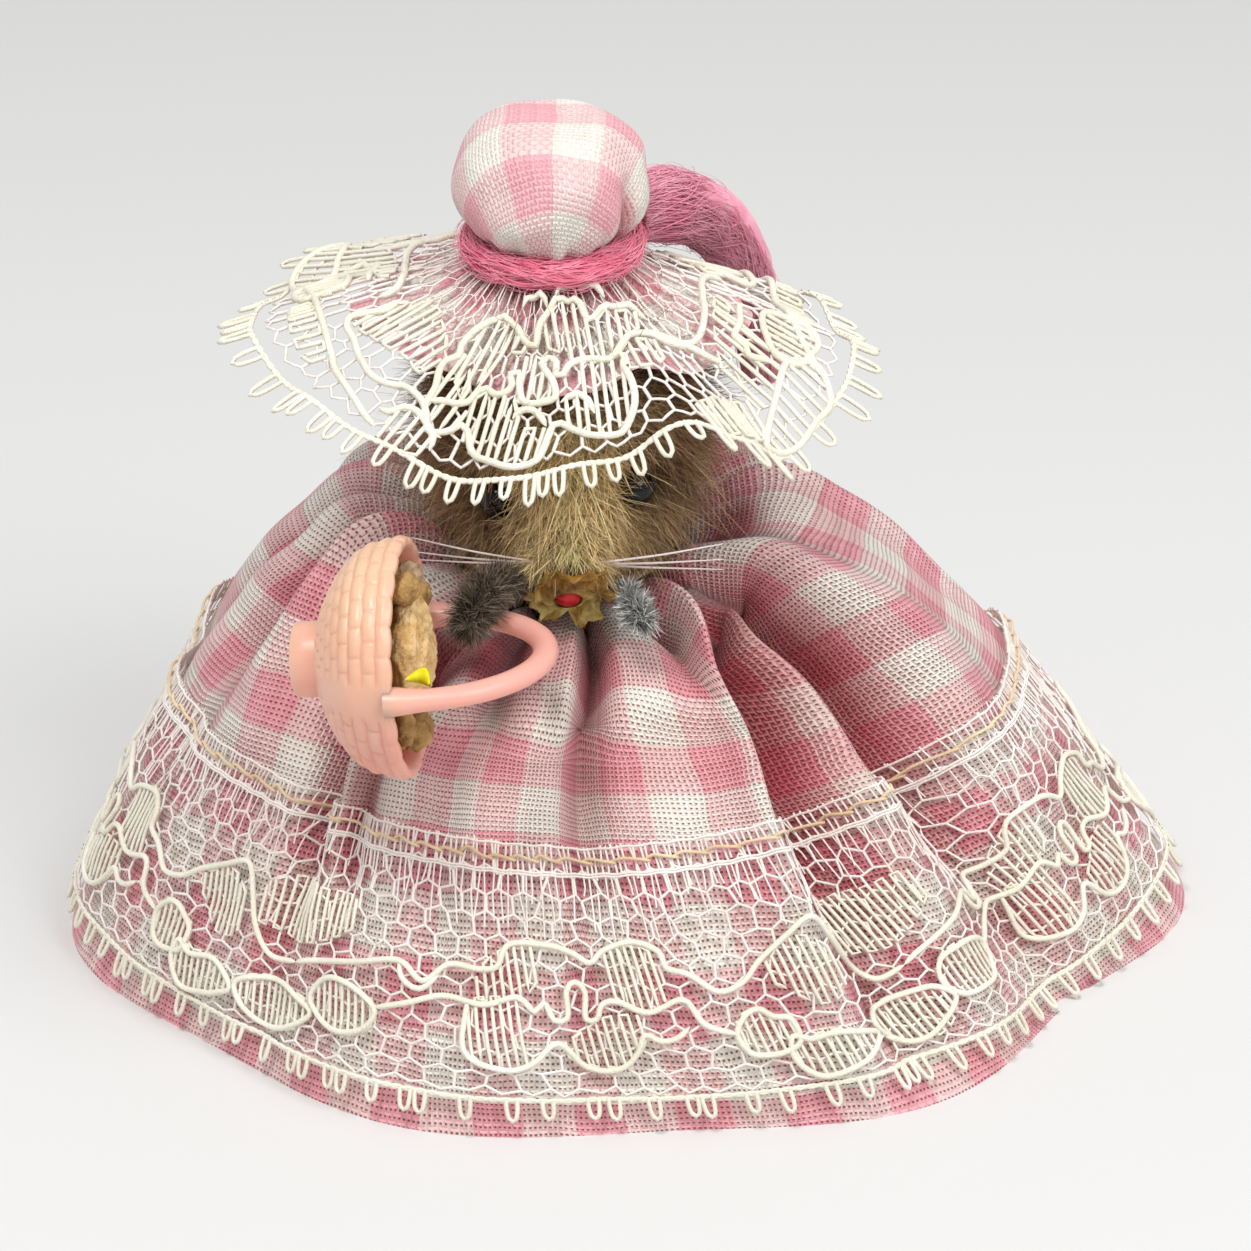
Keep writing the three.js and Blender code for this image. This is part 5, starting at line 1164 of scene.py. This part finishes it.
whisker_lines = []
for name, ahead, up, *rises in WHISKERS:
    points = []
    for across in (-1, -0.5, 0, 0.5, 1):
        share, rise = abs(across), rises[across > 0]
        points.append([across * WHISKER_SPAN, share**2.5 * WHISKER_SWEEP, share**1.3 * rise])
    line = flow(at_head(ahead, 0, up) + points, 0.7)
    whisker_lines.append(line)
    taper = np.interp(np.linspace(-1, 1, len(line)), [-1, -0.5, 0.5, 1], [0.045, 0.1, 0.1, 0.045])
    bundle = Bundle()
    bundle.tube(line, taper, sides=7)
    bundle.make("whisker_" + name + "_filament", NYLON, "nylon", stands_for=["whisker_" + name])

# The hide's torn edge: its reach every 30 degrees round the nose
HIDE_EDGE = [3.1, 2.6, 3.2, 3.0, 2.9, 2.3, 2.6, 2.2, 2.9, 2.4, 3.2, 2.5]
HIDE_HALF_THICKNESS = 0.12
hide_at = at_head(SNOUT_LENGTH + 0.3, 0, -0.4)
turn = np.arange(96) * TAU / 96
edge = 1.3 * np.interp(turn, np.arange(13) * TAU / 12, HIDE_EDGE + HIDE_EDGE[:1])
edge = edge + 0.3 * np.sin(turn * 13) + 0.2 * np.sin(turn * 29)
share = np.linspace(0, 1, 14)[:, None]
reach = 0.93 * NOSE_RADIUS * (1 - share) + edge * share
flap = hide_at + reach[..., None] * (np.cos(turn)[:, None] * HEAD_SIDE + np.sin(turn)[:, None] * SNOUT_UP)
curl = 0.35 + 0.6 * np.exp(-((share / 0.3) ** 2)) + 1.1 * share**2 * (0.5 + 0.5 * np.sin(turn * 5 + 1))
curl = curl + 0.3 * np.sin(turn * 11 + 4 * share) * share
curl = curl + 0.25 * np.sin(turn * 7 + share * 9) * np.sin(share * math.pi)
top = flap + (curl + HIDE_HALF_THICKNESS)[..., None] * SNOUT
under = flap + (curl - HIDE_HALF_THICKNESS)[..., None] * SNOUT
flap = np.concatenate([top, under[::-1]])
piece("hide_flaps", flap, grid_faces(*flap.shape[:2]), HIDE, "hide", stands_for=["hide_edge"])

# The arms: a dark core of twisted wire and pile, and fine bristles all round it

WHISKER_ROOM = 1.0


def clear_of_whiskers(roots, lean, long):
    """The lengths of an arm's bristles, with those that point at a whisker cut short of it."""
    for _ in range(7):
        tips = roots + lean * long[:, None]
        gap = np.min([np.linalg.norm(tips[:, None] - line, axis=-1).min(1) for line in whisker_lines], 0)
        long = np.where(gap < WHISKER_ROOM, long * 0.8, long)
    return long


def arm(name, line, thick, colour_low, colour_high, seed, count):
    """One arm's pile, as a core and bristles between two colours."""
    rng = np.random.default_rng(seed)
    path = flow(line, 0.4)
    share = np.linspace(0, 1, len(path))
    size = thick * np.interp(share, [0, 0.12, 0.3, 0.92, 1], [0.6, 0.8, 1.0, 0.95, 0.3])
    bundle = Bundle()
    bundle.tube(path, size, sides=14)
    bundle.make(name + "_core", CHENILLE, "chenille", body=name, stands_for=[name + "_pile"])
    at = rng.uniform(0.1, 1, count) ** 0.85
    k = (at * (len(path) - 1)).astype(int)
    ahead, side, up = [way[k] for way in along_line(path)]
    around = rng.uniform(0, TAU, count)
    away = np.cos(around)[:, None] * side + np.sin(around)[:, None] * up
    tip = np.clip((at - 0.86) / 0.14, 0, 1)[:, None]
    lean = unit(away * (1 - 0.55 * tip) + ahead * (0.1 + 1.2 * tip) + 0.25 * rng.normal(size=(count, 3)))
    roots = path[k] + away * 0.9 * size[k][:, None]
    low, high = rgb(colour_low), rgb(colour_high)
    colours = low + (high - low) * rng.uniform(0, 1, (count, 1)) ** 1.5
    tuft = 0.25 * ripple(roots, 1.1, seed)[:, None]
    colours = np.clip(colours * (1 + tuft), 0, 1)
    long = thick * np.interp(at, [0, 0.15, 0.4, 1], [0.4, 0.7, 1.2, 1.25]) * (1 + tuft[:, 0])
    long = clear_of_whiskers(roots, lean, long)
    blades(name + "_bristles", roots, lean, long, 0.05, colours, "chenille", 0.35, seed, body=name)


arm("left_arm", LEFT_ARM, 0.85, "#2c241d", "#9c8a76", 41, 9000)
arm("right_arm", RIGHT_ARM, 0.6, "#5d605c", "#f4f5f0", 42, 4600)

WIRE_RADIUS = 0.24


def twisted_wire(name, path, body, node):
    """Two wires twisted round each other along a path."""
    spin = np.linspace(0, len(path) * 0.5, len(path))
    _, side, up = along_line(path)
    bundle = Bundle()
    for phase in (0, math.pi):
        twist = np.cos(spin + phase)[:, None] * side + np.sin(spin + phase)[:, None] * up
        bundle.tube(path + WIRE_RADIUS * twist, WIRE_RADIUS, sides=6)
    bundle.make(name, WIRE, "wire", body=body, stands_for=[node])


for name, line in (("left_arm", LEFT_ARM), ("right_arm", RIGHT_ARM)):
    twisted_wire(name + "_twisted_wire", flow(line, 0.35)[2:-1], name, name + "_wire")
middle_wire = flow([
    LEFT_ARM[0] + [0.15, 0.35, -0.1], [-5.2, -15, 37.5], [-3, -11.6, 37], [-0.2, -15, 37.5],
    RIGHT_ARM[0] + [-0.15, 0.35, -0.1],
], 0.4)
twisted_wire("body_twisted_wire", middle_wire, "doll", "arm_wire_middle")

# The basket, in its own frame: foot at the origin, rim towards +Z, handle across X

basket_z = unit(BASKET_AXIS)
basket_x = unit(HANDLE_SIDE - HANDLE_SIDE @ basket_z * basket_z)
basket_turn = np.stack([basket_x, np.cross(basket_z, basket_x), basket_z])
basket_foot = RIM_CENTRE - BASKET_DEPTH * basket_z


def in_basket(points):
    """Points of the basket's own frame, in the doll's."""
    return np.reshape(points, (-1, 3)) @ basket_turn + basket_foot


# The bowl's outside, as reach and height
outside = flow([
    [FOOT_RADIUS, FOOT_HEIGHT + 0.2], [4.7, 2.9], [6.7, 4], [8.4, 5.6], [9.05, 7.3],
    [BASKET_RADIUS, BASKET_DEPTH],
], 0.09)
slope = unit(np.gradient(outside, axis=0))
run = np.concatenate([[0], np.cumsum(np.linalg.norm(np.diff(outside, axis=0), axis=1))])
WEAVE_ROWS = 9
row = run / run[-1] * WEAVE_ROWS
BASKET_COLUMNS = WEAVE_STAKES * 16
around = np.arange(BASKET_COLUMNS) * TAU / BASKET_COLUMNS
# Rows of weave over stakes, half a stake on from row to row, apart from a plain strap under each handle end
row_bump = np.abs(np.sin(row * math.pi)) ** 0.4
offset = (np.floor(row) % 2) * math.pi / 2
stake_bump = np.abs(np.cos(WEAVE_STAKES * around[None] / 2 + offset[:, None])) ** 0.35
WEAVE_RELIEF = 0.33
relief = WEAVE_RELIEF * row_bump[:, None] * (0.45 + 0.55 * stake_bump)
strap_off = np.minimum(np.abs(apart(around, 0)), np.abs(apart(around, math.pi)))
plain = np.exp(-((strap_off / 0.17) ** 8))
relief = relief * (1 - plain) + 0.3 * plain
end = np.clip((run[-1] - run) / 0.5, 0, 1)[:, None]
relief = relief * (0.35 + 0.65 * end) * np.clip(run / 0.6, 0, 1)[:, None]
scallop = 0.22 * (np.abs(np.cos(WEAVE_STAKES * around / 2)) ** 0.6 - 0.5) * (1 - plain)
wide = outside[:, :1] + slope[:, 1:] * relief
high = outside[:, 1:] - slope[:, :1] * relief + scallop * np.clip(run / run[-1] * 4 - 3, 0, 1)[:, None]
foot_rings = [
    (0.01, 0.35), (2.2, 0.35), (2.35, 0.0), (2.8, 0.0), (FOOT_RADIUS, 0.15), (3.02, 1.2), (FOOT_RADIUS, 2.0),
]
rim_ring = (9.0, 9.2)
inside_rings = [(8.6, 9.0), (8.5, 7.6), (8.0, 6.5), (7.2, 5.6), (5.8, 4.7), (3.4, 4.0), (0.01, 3.75)]
shell = np.concatenate([
    [round_points(reach, around, height) for reach, height in foot_rings],
    round_points(wide, around, high),
    [round_points(rim_ring[0], around, rim_ring[1] + scallop * 0.8)],
    [round_points(reach, around, height) for reach, height in inside_rings],
])
bundle = Bundle()
bundle.add(in_basket(shell), grid_faces(*shell.shape[:2]))
arc = np.linspace(0, math.pi, 60)
handle_end = BASKET_RADIUS - HANDLE_HALF_THICKNESS + 0.35
handle = np.zeros((len(arc), 3))
handle[:, 0] = handle_end * np.cos(arc)
handle[:, 2] = BASKET_DEPTH - 0.6 + (HANDLE_RISE - 0.3) * np.sin(arc) ** 0.9
flare = 1 + 0.35 * np.exp(-((np.minimum(arc, math.pi - arc) / 0.14) ** 2))
size = 0.88 * HANDLE_HALF_WIDTH * flare
points, faces = tube_parts(handle[None], size[None], sides=20, guide=(0, 1, 0), flat=0.85)
bundle.add(in_basket(points), faces)
bundle.make("basket_moulding", PLASTIC, "pink_plastic", body="basket", stands_for=["basket"])

# What is in the basket
lat = np.linspace(0.02, math.pi - 0.02, 90)[:, None]
lon = np.arange(140) * TAU / 140
sphere = round_points(np.sin(lat), lon, np.cos(lat))


def crumple(points, seed, deep):
    """Sharp creases at three sizes."""
    total = 0
    for k, size in enumerate((3.2, 1.5, 0.7)):
        total = total + (np.abs(ripple(points, size, seed + k)) - 0.6) / 2**k
    return deep * total


lump_at = np.array([-0.1, -0.6, BED_TOP + 0.3 + LUMP_HALF[2] * 1.09])
lump = lump_at + sphere * LUMP_HALF
lump += sphere * crumple(lump, 51, -0.35)[..., None]
faces = grid_faces(*lump.shape[:2])
piece("sponge_lump", in_basket(lump), faces, CORK, "cork", body="basket", stands_for=["basket_lump"])

# The bed, whose rim stands up round the lump, and the crumbs of it that show above and below the lump
radius = np.linspace(0.01, BED_RADIUS, 46)[:, None]
top = np.interp(radius, [0, 5.5, 6.4, 7.1, BED_RADIUS], [BED_TOP, BED_TOP, BED_RIM, BED_RIM, 8])
under = np.interp(radius, [0, 3.1, 5.3, 6.7, BED_RADIUS], [4.2, 4.4, 5.1, 6.2, 7.4])
bed = round_points(radius, lon, top)
bed[..., 2] += crumple(bed, 61, -0.3) * np.clip((BED_RADIUS - radius) / 1.5, 0, 1)
bed = np.concatenate([round_points(radius, lon, under), bed[::-1]])
faces = grid_faces(*bed.shape[:2])
piece("leaf_bed", in_basket(bed), faces, LEAF, "dried_leaf", body="basket", stands_for=["basket_bed"])
CRUMBS = [
    ((1.2, -6.3, 9.4), (1.6, 1.1, 1.0), LEAF), ((-1.6, -6.2, 9.2), (1.4, 1.0, 0.9), CRUMB),
    ((0.6, 6.1, 9.3), (2.4, 1.1, 1.0), LEAF), ((-2.4, 5.6, 9.2), (1.4, 1.0, 0.9), CRUMB),
    ((5.4, 3.4, 9.2), (1.2, 1.6, 0.9), LEAF), ((-5.6, -3.0, 9.1), (1.2, 1.6, 0.9), LEAF),
]
for k, (place, half, stuff) in enumerate(CRUMBS):
    crumb = np.array(place) + sphere[::3, ::4] * half
    crumb += sphere[::3, ::4] * crumple(crumb, 81 + k, -0.35)[..., None]
    faces = grid_faces(*crumb.shape[:2])
    piece(f"bed_crumb_{k}", in_basket(crumb), faces, stuff, "dried_leaf", body="basket")

# The petal: a small leaf that is curled along its middle
along, across = np.meshgrid(np.linspace(0, 1, 24), np.linspace(-1, 1, 15), indexing="ij")
half = 0.72 * np.sin(np.pi * np.clip(along * 0.94 + 0.03, 0, 1)) ** 0.8
petal = np.stack([2.3 * along, half * across, 0.9 * across**2 * half + 0.45 * np.sin(along * 4)], -1)
petal = np.concatenate([petal, petal[:, ::-1] + [0, 0, -0.16]], 1)
tilt = math.pi / 2.6
petal_turn = [[math.cos(tilt), 0, math.sin(tilt)], [0, 1, 0], [-math.sin(tilt), 0, math.cos(tilt)]]
petal = petal @ petal_turn + [6.5, -0.9, 9.9]
faces = grid_faces(*petal.shape[:2])
piece("petal_leaf", in_basket(petal), faces, YELLOW, "yellow", body="basket", stands_for=["yellow_petal"])

# What the skirt hides: the felt pad, the stuffed body and the gathering thread

turn = np.arange(160) * TAU / 160
frayed = 0.06 * np.sin(turn * 31)
pad = np.array([round_points(reach + frayed, turn, height) for reach, height in (
    (0.01, 0.0), (PAD_RADIUS - 0.4, 0.0), (PAD_RADIUS - 0.05, 0.25), (PAD_RADIUS, PAD_HEIGHT / 2),
    (PAD_RADIUS - 0.1, PAD_HEIGHT - 0.2), (PAD_RADIUS - 0.5, PAD_HEIGHT), (0.01, PAD_HEIGHT),
)])
piece("felt_pad", pad, grid_faces(*pad.shape[:2]), FELT, "felt", stands_for=["base_pad"])

body_radius = smooth([[0, 11.8], [0.12, 13], [0.4, 12.4], [0.65, 9.4], [0.85, 7.2], [1, 6.6]])


def body_middle(share):
    """The middle of the body, which leans towards the head, at shares of its height."""
    return np.stack([HEAD[0] * share, (HEAD[1] + 1) * share**1.3, TRUNK_FOOT + TRUNK_HEIGHT * share], -1)


share = np.linspace(0, 0.9, 40)[:, None]
reach = body_radius(share) * np.clip(share / 0.03 + 0.7, 0, 1)
trunk = body_middle(share) + round_points(reach, turn, 0)
trunk += 0.15 * ripple(trunk, 2.5, 71)[..., None]
trunk[..., 2] = np.maximum(trunk[..., 2], TRUNK_FOOT - 0.05)
trunk = np.concatenate([[round_points(0.01, turn, TRUNK_FOOT)], trunk])
faces = grid_faces(*trunk.shape[:2])
stuffed_trunk = piece("stuffed_trunk", trunk, faces, SKIN, "plush", stands_for=["stuffed_body"])

turn = np.arange(80) * TAU / 80
bundle = Bundle()
for phase in (0, math.pi):
    away = float(body_radius(GATHER_AT)) + 0.85 + 0.18 * np.cos(turn * 16 + phase)
    line = body_middle(GATHER_AT) + round_points(away, turn, 0.18 * np.sin(turn * 16 + phase))
    bundle.tube(line, 0.2, sides=6, closed=True)
bundle.make("gathering_thread", STITCH, "sewing_thread", stands_for=["gather_thread"])

# The floor and the light

bpy.ops.mesh.primitive_plane_add(size=3)
floor = bpy.context.object
floor.name = "floor"
floor.data.materials.append(Shade("floor", 0.9, "#d9d9d8").material)

world = bpy.data.worlds.new("world")
bpy.context.scene.world = world
world.use_nodes = True
sky = world.node_tree.nodes["Background"]
sky.inputs["Color"].default_value = (1, 1, 1, 1)
sky.inputs["Strength"].default_value = 0.57


def lamp(name, place, size, power):
    """A square lamp that faces the doll."""
    light = bpy.data.lights.new(name, "AREA")
    light.size, light.energy = size, power
    thing = bpy.data.objects.new(name, light)
    bpy.context.scene.collection.objects.link(thing)
    thing.location = place
    thing.rotation_euler = (Vector((0, 0, 0.03)) - Vector(place)).to_track_quat("-Z", "Y").to_euler()


lamp("key", (-0.14, -0.28, 0.75), 0.2, 3.2)
lamp("fill", (0.4, -0.4, 0.58), 0.35, 2.6)

bpy.context.scene.view_settings.view_transform = "Standard"
